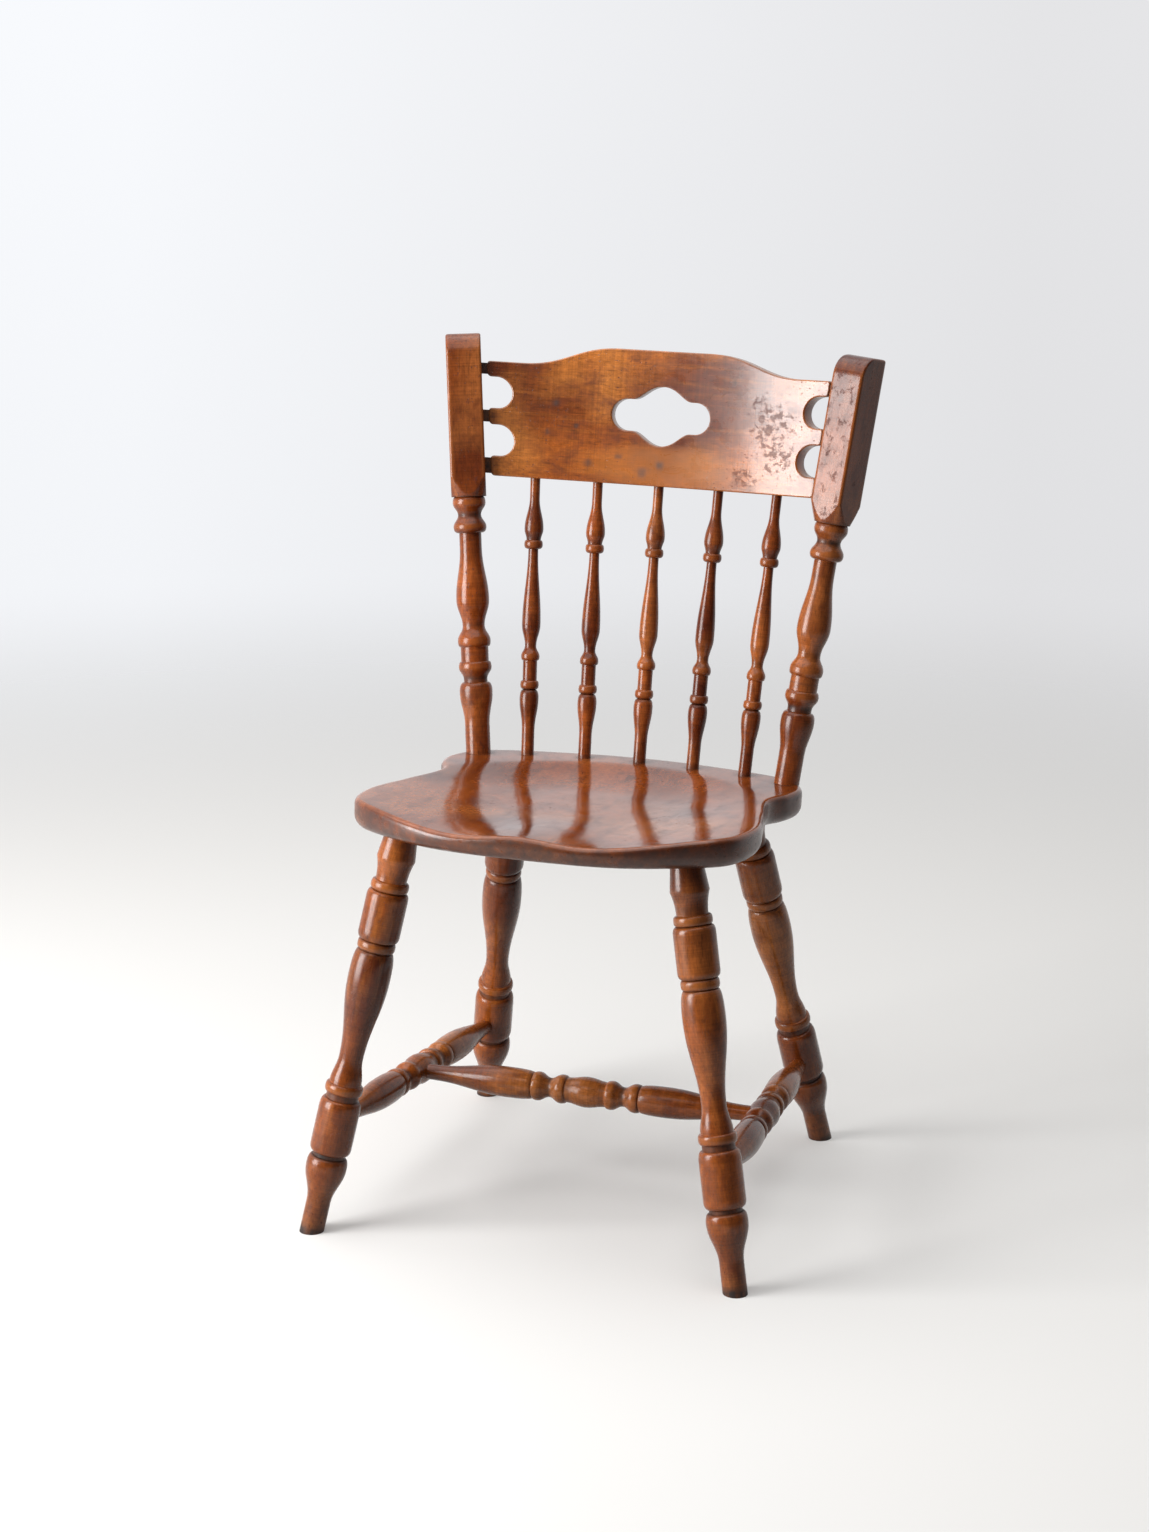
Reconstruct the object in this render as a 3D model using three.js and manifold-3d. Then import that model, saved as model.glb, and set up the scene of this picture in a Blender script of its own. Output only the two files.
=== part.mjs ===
// Spindle-back side chair in stained and varnished maple, in millimetres, +Z up, its front towards -Y.
// The origin is on the floor, under the middle of the chair.
// The seat is a scooped plank on four splayed, turned legs, which an H of turned stretchers ties.
// Two posts, turned below and square above, carry a bent and pierced crest rail over five turned spindles.

import * as THREE from 'three';
import { mergeVertices } from 'three/addons/utils/BufferGeometryUtils.js';
import Module from 'manifold-3d';

const wasm = await Module();
wasm.setup();

// Fits, faceting and the height of the floor
const JOINT_CLEARANCE = 0.3;
const LEG_SIDES = 12;
const POST_SIDES = 12;
const STRETCHER_SIDES = 10;
const SPINDLE_SIDES = 8;
const SEAT_OUTLINE_POINTS = 52;
const RAIL_FACETS = 14;

// Seat, measured from the line through the two posts, forwards along -Y
const SEAT_HEIGHT = 440;
const SEAT_PITCH = THREE.MathUtils.degToRad(4);
const SEAT_THICKNESS = 31.5;
const SEAT_HALF_WIDTH = 213.5;
const SEAT_WIDEST_AT = 240;
const SEAT_FRONT_AT = 367;
const SEAT_WAIST_HALF_WIDTH = 184.5;
const SEAT_WAIST_AT = 95;
const SEAT_TOP_ROUND = 6;
const SEAT_UNDER_ROUND = 14;
const EAR_BEYOND_POST = 24;
const REAR_EDGE_BEHIND_SPINDLES = 28;
const REAR_EDGE_BEHIND_POSTS = 20;
const SCOOP_DEPTH = 13;
const SCOOP_BANK = 110;
const SCOOP_MARGIN = 17;
const SCOOP_MARGIN_AT_POSTS = 77;
const SCOOP_FLAT_SHARE = 0.3;
const SCOOP_FRONT_SHARE = 0.9;
const POMMEL_HEIGHT = 5.5;
const POMMEL_HALF_WIDTH = 42;
const POMMEL_LENGTH = 150;

// Points that the seat's outline rounds its front corner through: in from the widest, back from the front
const SEAT_CORNER = [
  [118.5, 8],
  [53.5, 38],
  [10.5, 74],
];
// Points on the outline of the ear beside each post: in from its end, ahead of the posts
const EAR_CURVE = [
  [3.5, 60],
  [0, 25],
];

// Back frame: where posts and spindles stand, and how far the back leans and spreads
const POST_LINE_Y = 124;
const POST_BASE_X = 177;
const SPINDLE_ARC_RISE = 32;
const SPINDLE_COUNT = 5;
const SPINDLE_BASE_SPACING = 62.5;
const SPINDLE_TOP_SPACING = 69;
const BACK_LEAN = THREE.MathUtils.degToRad(9.5);
const BACK_SPREAD = THREE.MathUtils.degToRad(6);

// Crest rail, its heights measured up the leaning back from its lower edge
const RAIL_RISE = 306;
const RAIL_THICKNESS = 18;
const RAIL_SAG = 37;
const RAIL_END_HEIGHT = 125;
const RAIL_CROWN_HEIGHT = 147;
const RAIL_CROWN_HALF_WIDTH = 52;
const RAIL_SWEEP_LENGTH = 108;
const PIERCING_HEIGHT = 76;
const PIERCING_HALF_WIDTH = 56.5;
const PIERCING_LOBE_RADIUS = 17.2;
const PIERCING_MIDDLE_RISE = 32.3;
const PIERCING_MIDDLE_HALF_WIDTH = 34;
const NOTCH_RADIUS = 17;
const NOTCH_DEPTH = 33;
const NOTCH_HEIGHTS = [39, 91];
const PRONG_CORNER = 4;
const SHOULDER_GAP = 6;
const TENON_THICKNESS = 10;
const TENON_DEPTH = 13;
const TENON_SET_BACK = 2.5;

// Square head of each post
const HEAD_WIDTH = 38.5;
const HEAD_DEPTH = 41;
const HEAD_BELOW_RAIL = 25;
const HEAD_ABOVE_RAIL_END = 28;
const HEAD_TURN_IN = THREE.MathUtils.degToRad(20);
const HEAD_FRONT_ROUND = 23;
const HEAD_POMMEL_LENGTH = 25;

// Legs: foot centres on the floor, and socket centres on the seat's underside from the line of the posts
const FRONT_FOOT = new THREE.Vector2(232, -225);
const REAR_FOOT = new THREE.Vector2(201, 223.5);
const FRONT_SOCKET = new THREE.Vector2(153, -286);
const REAR_SOCKET = new THREE.Vector2(134, -14);
const LEG_TENON_DEPTH = 22;
const LEG_LEAST_NECK = 19.5;

// Depth of the other tenons, and where the stretchers enter the legs and each other
const POST_TENON_DEPTH = 20;
const SPINDLE_FOOT_TENON = 16;
const SPINDLE_TOP_TENON = 14;
const SPINDLE_LEAST_FOOT = 25;
const SIDE_STRETCHER_UP_FRONT_LEG = 122.5;
const SIDE_STRETCHER_UP_REAR_LEG = 105;
const SIDE_STRETCHER_STOP = 7;
const CROSS_STRETCHER_SHARE = 0.49;
const CROSS_STRETCHER_STOP = 6;

// Turned forms: diameters, and lengths of the features along the axis
const LEG = {
  footDiameter: 25.5,
  footLength: 33,
  bulbDiameter: 43.2,
  bulbRise: 40,
  bulbShoulder: 11,
  grooveDiameter: 34,
  grooveLength: 4,
  drumDiameter: 43.8,
  drumShoulder: 8,
  lowerDrumLength: 40,
  ringDiameter: 40,
  ringLength: 11,
  hollowLength: 6,
  waistDiameter: 25.5,
  waistRise: 28,
  vaseDiameter: 44.2,
  vaseShoulder: 29,
  upperDrumLength: 38,
  collarWaistDiameter: 32.6,
  collarDiameter: 40.4,
  collarRise: 24,
  neckDiameter: 33.4,
  tenonDiameter: 27,
};
const STRETCHER = {
  swellDiameter: 33.4,
  grooveDiameter: 27,
  swellHalfLength: 23,
  beadDiameter: 31.6,
  beadLength: 6,
  hollowDiameter: 20.8,
  hollowHalfLength: 13,
  vaseShoulder: 30,
  tenonDiameter: 17,
  tenonShank: 14,
};
const POST = {
  shankDiameter: 27.4,
  shankLength: 32,
  knobDiameter: 36.4,
  knobRise: 35,
  knobShoulder: 11,
  grooveDiameter: 26,
  grooveLength: 4,
  ringRise: 12,
  ringLength: 7,
  drumDiameter: 30.6,
  drumLength: 16,
  waistDiameter: 24.4,
  waistLength: 9,
  swellRise: 29,
  neckLength: 17,
  capHollowDiameter: 25.3,
  capHollowLength: 13,
};
const SPINDLE = {
  footDiameter: 14,
  knobDiameter: 21,
  knobRise: 35,
  knobShoulder: 10,
  ringDiameter: 20.5,
  ringLength: 5,
  drumDiameter: 15.7,
  drumLength: 22,
  waistDiameter: 12.4,
  waistLength: 6,
  swellRise: 24,
  shankDiameter: 10.9,
  knobFall: 34,
  topRise: 12,
  topShank: 22,
};

// Stain and varnish, darker on the legs than on the back
const FINISHES = {
  seat: { color: 0x8a3f1c, roughness: 0.22, metalness: 0 },
  back: { color: 0x9a5420, roughness: 0.3, metalness: 0 },
  legs: { color: 0x6e3013, roughness: 0.34, metalness: 0 },
};

// A turning is drawn as it is cut on the lathe, one feature after another along its axis.
class Turning {
  constructor(diameter, start = 0) {
    this.along = start;
    this.radius = diameter / 2;
    this.points = [new THREE.Vector2(this.radius, this.along)];
  }

  follow(curve, steps) {
    const cut = curve.getPoints(steps).slice(1);
    this.points.push(...cut);
    this.radius = cut[cut.length - 1].x;
    this.along = cut[cut.length - 1].y;
    return this;
  }

  // A cylinder or a straight taper
  straight(length, diameter = this.radius * 2) {
    const start = new THREE.Vector2(this.radius, this.along);
    const end = new THREE.Vector2(diameter / 2, this.along + length);
    return this.follow(new THREE.LineCurve(start, end), 1);
  }

  // An S-shaped sweep that leaves and arrives along the axis, as between a vase and its waist
  sweep(length, diameter, steps = 3) {
    const reach = length * 0.4;
    const curve = new THREE.CubicBezierCurve(
      new THREE.Vector2(this.radius, this.along),
      new THREE.Vector2(this.radius, this.along + reach),
      new THREE.Vector2(diameter / 2, this.along + length - reach),
      new THREE.Vector2(diameter / 2, this.along + length),
    );
    return this.follow(curve, steps);
  }

  // A quarter round that leaves square to the axis and arrives along it
  roundOut(length, diameter, steps = 2) {
    const start = new THREE.Vector2(this.radius, this.along);
    const corner = new THREE.Vector2(diameter / 2, this.along);
    const end = new THREE.Vector2(diameter / 2, this.along + length);
    return this.follow(new THREE.QuadraticBezierCurve(start, corner, end), steps);
  }

  // A quarter round that leaves along the axis and arrives square to it
  roundIn(length, diameter, steps = 2) {
    const start = new THREE.Vector2(this.radius, this.along);
    const corner = new THREE.Vector2(this.radius, this.along + length);
    const end = new THREE.Vector2(diameter / 2, this.along + length);
    return this.follow(new THREE.QuadraticBezierCurve(start, corner, end), steps);
  }

  // A hollow flare that leaves along the axis and ends in a sharp arris
  flare(length, diameter, steps = 2) {
    const start = new THREE.Vector2(this.radius, this.along);
    const middle = new THREE.Vector2(this.radius, this.along + length / 2);
    const end = new THREE.Vector2(diameter / 2, this.along + length);
    return this.follow(new THREE.QuadraticBezierCurve(start, middle, end), steps);
  }

  // A raised ring, from the present diameter to its own and down to the next
  ring(length, diameter, nextDiameter = this.radius * 2) {
    this.roundOut(length / 2, diameter);
    return this.roundIn(length / 2, nextDiameter);
  }
}

function legTurning(vaseRise, neckLength, startBelowFloor) {
  const turning = new Turning(LEG.footDiameter, -startBelowFloor);
  turning.straight(startBelowFloor + LEG.footLength);
  turning.sweep(LEG.bulbRise, LEG.bulbDiameter, 4);
  turning.roundIn(LEG.bulbShoulder, LEG.grooveDiameter);
  turning.straight(LEG.grooveLength);
  turning.roundOut(LEG.drumShoulder, LEG.drumDiameter);
  turning.straight(LEG.lowerDrumLength);
  turning.roundIn(LEG.drumShoulder + LEG.grooveLength, LEG.grooveDiameter);
  turning.straight(LEG.hollowLength);
  turning.ring(LEG.ringLength, LEG.ringDiameter);
  turning.sweep(LEG.waistRise, LEG.waistDiameter);
  turning.sweep(vaseRise, LEG.vaseDiameter, 5);
  turning.roundIn(LEG.vaseShoulder, LEG.grooveDiameter);
  turning.ring(LEG.ringLength, LEG.ringDiameter);
  turning.roundOut(LEG.drumShoulder, LEG.drumDiameter);
  turning.straight(LEG.upperDrumLength);
  turning.roundIn(LEG.drumShoulder, LEG.grooveDiameter);
  turning.ring(LEG.ringLength, LEG.ringDiameter, LEG.collarWaistDiameter);
  turning.flare(LEG.collarRise, LEG.collarDiameter);
  turning.straight(neckLength, LEG.neckDiameter);
  turning.straight(LEG_TENON_DEPTH, LEG.tenonDiameter);
  return turning;
}

function stretcherTurning(halfLength) {
  const half = new Turning(STRETCHER.swellDiameter);
  half.sweep(STRETCHER.swellHalfLength, STRETCHER.grooveDiameter);
  half.roundOut(STRETCHER.beadLength, STRETCHER.beadDiameter);
  half.sweep(STRETCHER.hollowHalfLength, STRETCHER.hollowDiameter, 2);
  half.sweep(STRETCHER.hollowHalfLength, STRETCHER.beadDiameter, 2);
  half.roundIn(STRETCHER.beadLength, STRETCHER.grooveDiameter);
  half.roundOut(STRETCHER.vaseShoulder, STRETCHER.swellDiameter);
  half.sweep(halfLength - half.along - STRETCHER.tenonShank, STRETCHER.tenonDiameter, 5);
  half.straight(STRETCHER.tenonShank);
  const otherHalf = half.points.slice(1).map((point) => new THREE.Vector2(point.x, -point.y));
  half.points.unshift(...otherHalf.reverse());
  return half;
}

function postTurning(turnedLength) {
  const turning = new Turning(POST.shankDiameter, -POST_TENON_DEPTH);
  turning.straight(POST_TENON_DEPTH + POST.shankLength);
  turning.sweep(POST.knobRise, POST.knobDiameter, 4);
  turning.roundIn(POST.knobShoulder, POST.grooveDiameter);
  turning.straight(POST.grooveLength);
  turning.sweep(POST.ringRise, POST.knobDiameter, 2);
  turning.roundIn(POST.ringLength, POST.drumDiameter);
  turning.straight(POST.drumLength);
  turning.roundOut(POST.ringLength, POST.knobDiameter);
  turning.sweep(POST.ringLength + POST.waistLength, POST.waistDiameter, 2);
  turning.sweep(POST.swellRise, POST.knobDiameter, 3);
  const cap = POST.neckLength + 2 * POST.ringLength + 2 * POST.capHollowLength;
  turning.sweep(turnedLength - turning.along - cap, POST.waistDiameter, 4);
  turning.straight(POST.neckLength);
  turning.roundOut(POST.ringLength, POST.knobDiameter);
  turning.sweep(POST.capHollowLength, POST.capHollowDiameter, 2);
  turning.sweep(POST.capHollowLength, POST.knobDiameter, 2);
  turning.roundIn(POST.ringLength, POST.drumDiameter);
  turning.straight(HEAD_POMMEL_LENGTH);
  return turning;
}

function spindleTurning(footLength, swellFall) {
  const turning = new Turning(SPINDLE.footDiameter, -SPINDLE_FOOT_TENON);
  turning.straight(SPINDLE_FOOT_TENON + footLength);
  turning.sweep(SPINDLE.knobRise, SPINDLE.knobDiameter);
  turning.roundIn(SPINDLE.knobShoulder, SPINDLE.waistDiameter);
  turning.ring(2 * SPINDLE.ringLength, SPINDLE.ringDiameter, SPINDLE.drumDiameter);
  turning.straight(SPINDLE.drumLength);
  turning.roundOut(SPINDLE.ringLength, SPINDLE.ringDiameter);
  turning.sweep(SPINDLE.ringLength + SPINDLE.waistLength, SPINDLE.waistDiameter, 2);
  turning.sweep(SPINDLE.swellRise, SPINDLE.ringDiameter);
  turning.sweep(swellFall, SPINDLE.shankDiameter, 4);
  turning.ring(2 * SPINDLE.ringLength, SPINDLE.ringDiameter, SPINDLE.drumDiameter);
  turning.sweep(SPINDLE.topRise, SPINDLE.knobDiameter, 2);
  turning.sweep(SPINDLE.knobFall, SPINDLE.shankDiameter);
  turning.straight(SPINDLE.topShank + SPINDLE_TOP_TENON);
  return turning;
}

// The turning's profile, closed on the axis, as a solid along +Z; oversize adds to the radius and both ends.
function turnedGeometry(turning, sides, oversize = 0) {
  const profile = turning.points.map((point) => new THREE.Vector2(point.x + oversize, point.y));
  const first = profile[0];
  const last = profile[profile.length - 1];
  first.y -= oversize;
  last.y += oversize;
  profile.unshift(new THREE.Vector2(0, first.y));
  profile.push(new THREE.Vector2(0, last.y));
  return new THREE.LatheGeometry(profile, sides).rotateX(Math.PI / 2);
}

function closedGeometry(geometry) {
  const bare = geometry.clone();
  bare.deleteAttribute('normal');
  bare.deleteAttribute('uv');
  const merged = mergeVertices(bare, 1e-4);
  const corners = merged.index.array;
  const kept = [];
  for (let i = 0; i < corners.length; i += 3) {
    const [a, b, c] = corners.slice(i, i + 3);
    if (a !== b && b !== c && c !== a) kept.push(a, b, c);
  }
  merged.setIndex(kept);
  return merged;
}

function toSolid(geometry, matrix) {
  const closed = closedGeometry(geometry).applyMatrix4(matrix);
  return new wasm.Manifold(new wasm.Mesh({
    numProp: 3,
    vertProperties: new Float32Array(closed.attributes.position.array),
    triVerts: new Uint32Array(closed.index.array),
  }));
}

function fromSolid(solid) {
  const { vertProperties, triVerts } = solid.getMesh();
  const geometry = new THREE.BufferGeometry();
  geometry.setAttribute('position', new THREE.BufferAttribute(new Float32Array(vertProperties), 3));
  geometry.setIndex(new THREE.BufferAttribute(new Uint32Array(triVerts), 1));
  return geometry;
}

// The solid of a mesh in the frame of another, for a cut or a join there
function solidIn(frame, mesh) {
  frame.updateWorldMatrix(true, false);
  mesh.updateWorldMatrix(true, false);
  return toSolid(mesh.geometry, frame.matrixWorld.clone().invert().multiply(mesh.matrixWorld));
}

function cut(mesh, cutters) {
  let solid = solidIn(mesh, mesh);
  for (const cutter of cutters) solid = solid.subtract(solidIn(mesh, cutter));
  mesh.geometry = fromSolid(solid);
}

function join(mesh, pieces) {
  let solid = solidIn(mesh, mesh);
  for (const piece of pieces) solid = solid.add(solidIn(mesh, piece));
  mesh.geometry = fromSolid(solid);
}

function keepInside(mesh, envelope) {
  mesh.geometry = fromSolid(solidIn(mesh, mesh).intersect(solidIn(mesh, envelope)));
}

function piece(name, geometry, finish) {
  const mesh = new THREE.Mesh(geometry, new THREE.MeshStandardMaterial(FINISHES[finish]));
  mesh.name = name;
  return mesh;
}

// A nameless mesh that stands where a matrix says, for a cut or a join
function placed(geometry, matrix) {
  const mesh = new THREE.Mesh(geometry);
  mesh.applyMatrix4(matrix);
  return mesh;
}

// Stands a turned piece on a point with its axis towards another
function stand(mesh, from, to) {
  mesh.position.copy(from);
  mesh.quaternion.setFromUnitVectors(new THREE.Vector3(0, 0, 1), to.clone().sub(from).normalize());
  mesh.updateMatrixWorld();
  return mesh;
}

// The same turned piece, wider and longer by the joint clearance, as the cutter of its sockets
function socketCutter(mesh, turning, sides) {
  mesh.updateWorldMatrix(true, false);
  return placed(turnedGeometry(turning, sides, JOINT_CLEARANCE), mesh.matrixWorld);
}

const chair = new THREE.Group();

// The seat and the back each have their own frame on the line through the posts.
const seatFrame = new THREE.Group();
seatFrame.position.set(0, POST_LINE_Y, SEAT_HEIGHT);
seatFrame.rotation.x = -SEAT_PITCH;
seatFrame.updateMatrixWorld();
const backFrame = new THREE.Group();
backFrame.position.copy(seatFrame.position);
backFrame.rotation.x = -BACK_LEAN;
backFrame.updateMatrixWorld();
chair.add(seatFrame, backFrame);

// Arcs shared by the seat's rear edge, the spindles and the rail
function spindleArc(x) {
  return SPINDLE_ARC_RISE * (1 - (x / POST_BASE_X) ** 2);
}

const RAIL_HALF_CHORD = POST_BASE_X + (RAIL_RISE + RAIL_END_HEIGHT / 2) * Math.tan(BACK_SPREAD);
const RAIL_RADIUS = (RAIL_HALF_CHORD ** 2 + RAIL_SAG ** 2) / (2 * RAIL_SAG);
const RAIL_CENTRE_Y = RAIL_SAG - RAIL_RADIUS;

function railArc(x) {
  return RAIL_CENTRE_Y + Math.sqrt(RAIL_RADIUS ** 2 - x ** 2);
}

// Seat plank: a closed outline, rounded edges above and below, and a scooped top with a pommel

function rearEdge(x) {
  const towardsPost = (x / POST_BASE_X) ** 2;
  const behind = THREE.MathUtils.lerp(REAR_EDGE_BEHIND_SPINDLES, REAR_EDGE_BEHIND_POSTS, towardsPost);
  return spindleArc(x) + behind;
}

function seatOutline() {
  const earHalfWidth = POST_BASE_X + EAR_BEYOND_POST;
  const half = [
    [0, -SEAT_FRONT_AT],
    ...SEAT_CORNER.map(([inwards, back]) => [SEAT_HALF_WIDTH - inwards, back - SEAT_FRONT_AT]),
    [SEAT_HALF_WIDTH, -SEAT_WIDEST_AT],
    [(SEAT_HALF_WIDTH + SEAT_WAIST_HALF_WIDTH) / 2, -(SEAT_WIDEST_AT + SEAT_WAIST_AT) / 2],
    [SEAT_WAIST_HALF_WIDTH, -SEAT_WAIST_AT],
    ...EAR_CURVE.map(([inwards, ahead]) => [earHalfWidth - inwards, -ahead]),
    [POST_BASE_X, rearEdge(POST_BASE_X)],
    [POST_BASE_X / 2, rearEdge(POST_BASE_X / 2)],
    [0, rearEdge(0)],
  ];
  const right = half.map(([x, y]) => new THREE.Vector3(x, y, 0));
  const left = half.slice(1, -1).map(([x, y]) => new THREE.Vector3(-x, y, 0));
  const curve = new THREE.CatmullRomCurve3([...right, ...left.reverse()], true);
  return curve.getSpacedPoints(SEAT_OUTLINE_POINTS).slice(0, -1);
}

// Depth of the scoop under the plank's top plane: a broad hollow that begins at a crease before the spindles,
// runs out at the sides, and is carried over the front by two thigh hollows beside a low pommel.
function scoopDepth(x, y) {
  const margin = THREE.MathUtils.lerp(SCOOP_MARGIN, SCOOP_MARGIN_AT_POSTS, (x / POST_BASE_X) ** 2);
  const past = THREE.MathUtils.clamp((spindleArc(x) - margin - y) / SCOOP_BANK, 0, 1);
  const bank = past * (2 - past);
  const flat = SEAT_WAIST_HALF_WIDTH * SCOOP_FLAT_SHARE;
  const side = 1 - THREE.MathUtils.smoothstep(Math.abs(x), flat, SEAT_HALF_WIDTH);
  const forward = THREE.MathUtils.smoothstep(-y, SCOOP_BANK, SEAT_FRONT_AT);
  const hollow = SCOOP_DEPTH * bank * side * (1 - (1 - SCOOP_FRONT_SHARE) * forward);
  const ridge = THREE.MathUtils.smoothstep(-y, SEAT_FRONT_AT - POMMEL_LENGTH, SEAT_FRONT_AT);
  const pommel = POMMEL_HEIGHT * ridge * Math.exp(-((x / POMMEL_HALF_WIDTH) ** 2));
  return Math.max(hollow - pommel, 0);
}

function seatGeometry() {
  const outline = seatOutline();
  const count = outline.length;
  const inward = outline.map((point, i) => {
    const before = outline[(i + count - 1) % count];
    const after = outline[(i + 1) % count];
    return new THREE.Vector2(before.y - after.y, after.x - before.x).normalize();
  });
  const inset = (i, distance) => new THREE.Vector2(
    outline[i].x + inward[i].x * distance,
    outline[i].y + inward[i].y * distance,
  );
  const middle = new THREE.Vector2(0, -SEAT_FRONT_AT / 2);
  const rings = [];
  const underside = -SEAT_THICKNESS;
  for (const step of [0, 1, 2]) {
    const angle = (step / 2) * (Math.PI / 2);
    const distance = SEAT_UNDER_ROUND * (1 - Math.sin(angle));
    const height = underside + SEAT_UNDER_ROUND * (1 - Math.cos(angle));
    rings.push(outline.map((point, i) => {
      const { x, y } = inset(i, distance);
      return [x, y, height];
    }));
  }
  for (const step of [0, 1, 2, 3]) {
    const angle = (step / 3) * (Math.PI / 2);
    const distance = SEAT_TOP_ROUND * (1 - Math.cos(angle));
    rings.push(outline.map((point, i) => {
      const { x, y } = inset(i, distance);
      const shoulder = inset(i, SEAT_TOP_ROUND);
      const top = -scoopDepth(shoulder.x, shoulder.y);
      return [x, y, top - SEAT_TOP_ROUND * (1 - Math.sin(angle))];
    }));
  }
  for (const share of [0.94, 0.86, 0.74, 0.58, 0.4, 0.2]) {
    rings.push(outline.map((point, i) => {
      const { x, y } = inset(i, SEAT_TOP_ROUND).sub(middle).multiplyScalar(share).add(middle);
      return [x, y, -scoopDepth(x, y)];
    }));
  }
  const positions = rings.flat(2);
  const undersideCentre = positions.length / 3;
  positions.push(middle.x, middle.y, underside);
  positions.push(middle.x, middle.y, -scoopDepth(middle.x, middle.y));
  const index = [];
  for (let i = 0; i < count; i += 1) {
    const next = (i + 1) % count;
    index.push(undersideCentre, next, i);
    for (let ring = 0; ring < rings.length - 1; ring += 1) {
      const here = ring * count;
      const above = here + count;
      index.push(here + i, here + next, above + next);
      index.push(here + i, above + next, above + i);
    }
    const last = (rings.length - 1) * count;
    index.push(undersideCentre + 1, last + i, last + next);
  }
  const geometry = new THREE.BufferGeometry();
  geometry.setAttribute('position', new THREE.Float32BufferAttribute(positions, 3));
  geometry.setIndex(index);
  return geometry;
}

const seat = piece('seat', seatGeometry(), 'seat');
seatFrame.add(seat);

// Legs

const LEG_CORNERS = [
  { name: 'leg_front_left', side: -1, foot: FRONT_FOOT, socket: FRONT_SOCKET },
  { name: 'leg_front_right', side: 1, foot: FRONT_FOOT, socket: FRONT_SOCKET },
  { name: 'leg_back_left', side: -1, foot: REAR_FOOT, socket: REAR_SOCKET },
  { name: 'leg_back_right', side: 1, foot: REAR_FOOT, socket: REAR_SOCKET },
];
for (const corner of LEG_CORNERS) {
  corner.footPoint = new THREE.Vector3(corner.side * corner.foot.x, corner.foot.y, 0);
  corner.socketPoint = seatFrame.localToWorld(
    new THREE.Vector3(corner.side * corner.socket.x, corner.socket.y, -SEAT_THICKNESS),
  );
  corner.length = corner.footPoint.distanceTo(corner.socketPoint);
}

const floorCutter = new THREE.Mesh(new THREE.BoxGeometry(1000, 1000, 100));
floorCutter.position.z = -50;

const shortestLeg = Math.min(...LEG_CORNERS.map((corner) => corner.length));
const legWithoutVase = legTurning(0, LEG_LEAST_NECK, 0).along - LEG_TENON_DEPTH;
const vaseRise = shortestLeg - legWithoutVase;
const legs = {};
const seatCutters = [];
for (const corner of LEG_CORNERS) {
  const neckLength = LEG_LEAST_NECK + corner.length - shortestLeg;
  const turning = legTurning(vaseRise, neckLength, LEG.footDiameter / 2);
  const leg = piece(corner.name, turnedGeometry(turning, LEG_SIDES), 'legs');
  stand(leg, corner.footPoint, corner.socketPoint);
  seatCutters.push(socketCutter(leg, turning, LEG_SIDES));
  cut(leg, [floorCutter]);
  legs[corner.name] = leg;
  chair.add(leg);
}

// Stretchers: one down each side between front and rear legs, and one across between those two

function stretcher(name, from, to, stop) {
  const middle = from.clone().add(to).multiplyScalar(0.5);
  const turning = stretcherTurning(from.distanceTo(to) / 2 - stop);
  const mesh = piece(name, turnedGeometry(turning, STRETCHER_SIDES), 'legs');
  stand(mesh, middle, to);
  const cutter = socketCutter(mesh, turning, STRETCHER_SIDES);
  chair.add(mesh);
  return { mesh, cutter, from, to };
}

function pointUpLeg(corner, distance) {
  const direction = corner.socketPoint.clone().sub(corner.footPoint).normalize();
  return corner.footPoint.clone().addScaledVector(direction, distance);
}

function sideStretcher(sideName) {
  const [front, rear] = ['front', 'back'].map((end) => (
    LEG_CORNERS.find((corner) => corner.name === `leg_${end}_${sideName}`)
  ));
  const made = stretcher(
    `side_stretcher_${sideName}`,
    pointUpLeg(front, SIDE_STRETCHER_UP_FRONT_LEG),
    pointUpLeg(rear, SIDE_STRETCHER_UP_REAR_LEG),
    SIDE_STRETCHER_STOP,
  );
  cut(legs[front.name], [made.cutter]);
  cut(legs[rear.name], [made.cutter]);
  return made;
}

const sideStretchers = ['left', 'right'].map(sideStretcher);
const [crossLeft, crossRight] = sideStretchers.map(({ from, to }) => (
  from.clone().lerp(to, CROSS_STRETCHER_SHARE)
));
const cross = stretcher('cross_stretcher', crossLeft, crossRight, CROSS_STRETCHER_STOP);
for (const side of sideStretchers) cut(side.mesh, [cross.cutter]);

// Posts: turned below, with a square head that is turned in to follow the rail

const POST_AXIS_LENGTH = (RAIL_RISE + RAIL_END_HEIGHT + HEAD_ABOVE_RAIL_END) / Math.cos(BACK_SPREAD);
const TURNED_LENGTH = (RAIL_RISE - HEAD_BELOW_RAIL) / Math.cos(BACK_SPREAD);
const HEAD_LENGTH = POST_AXIS_LENGTH - TURNED_LENGTH;

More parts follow.
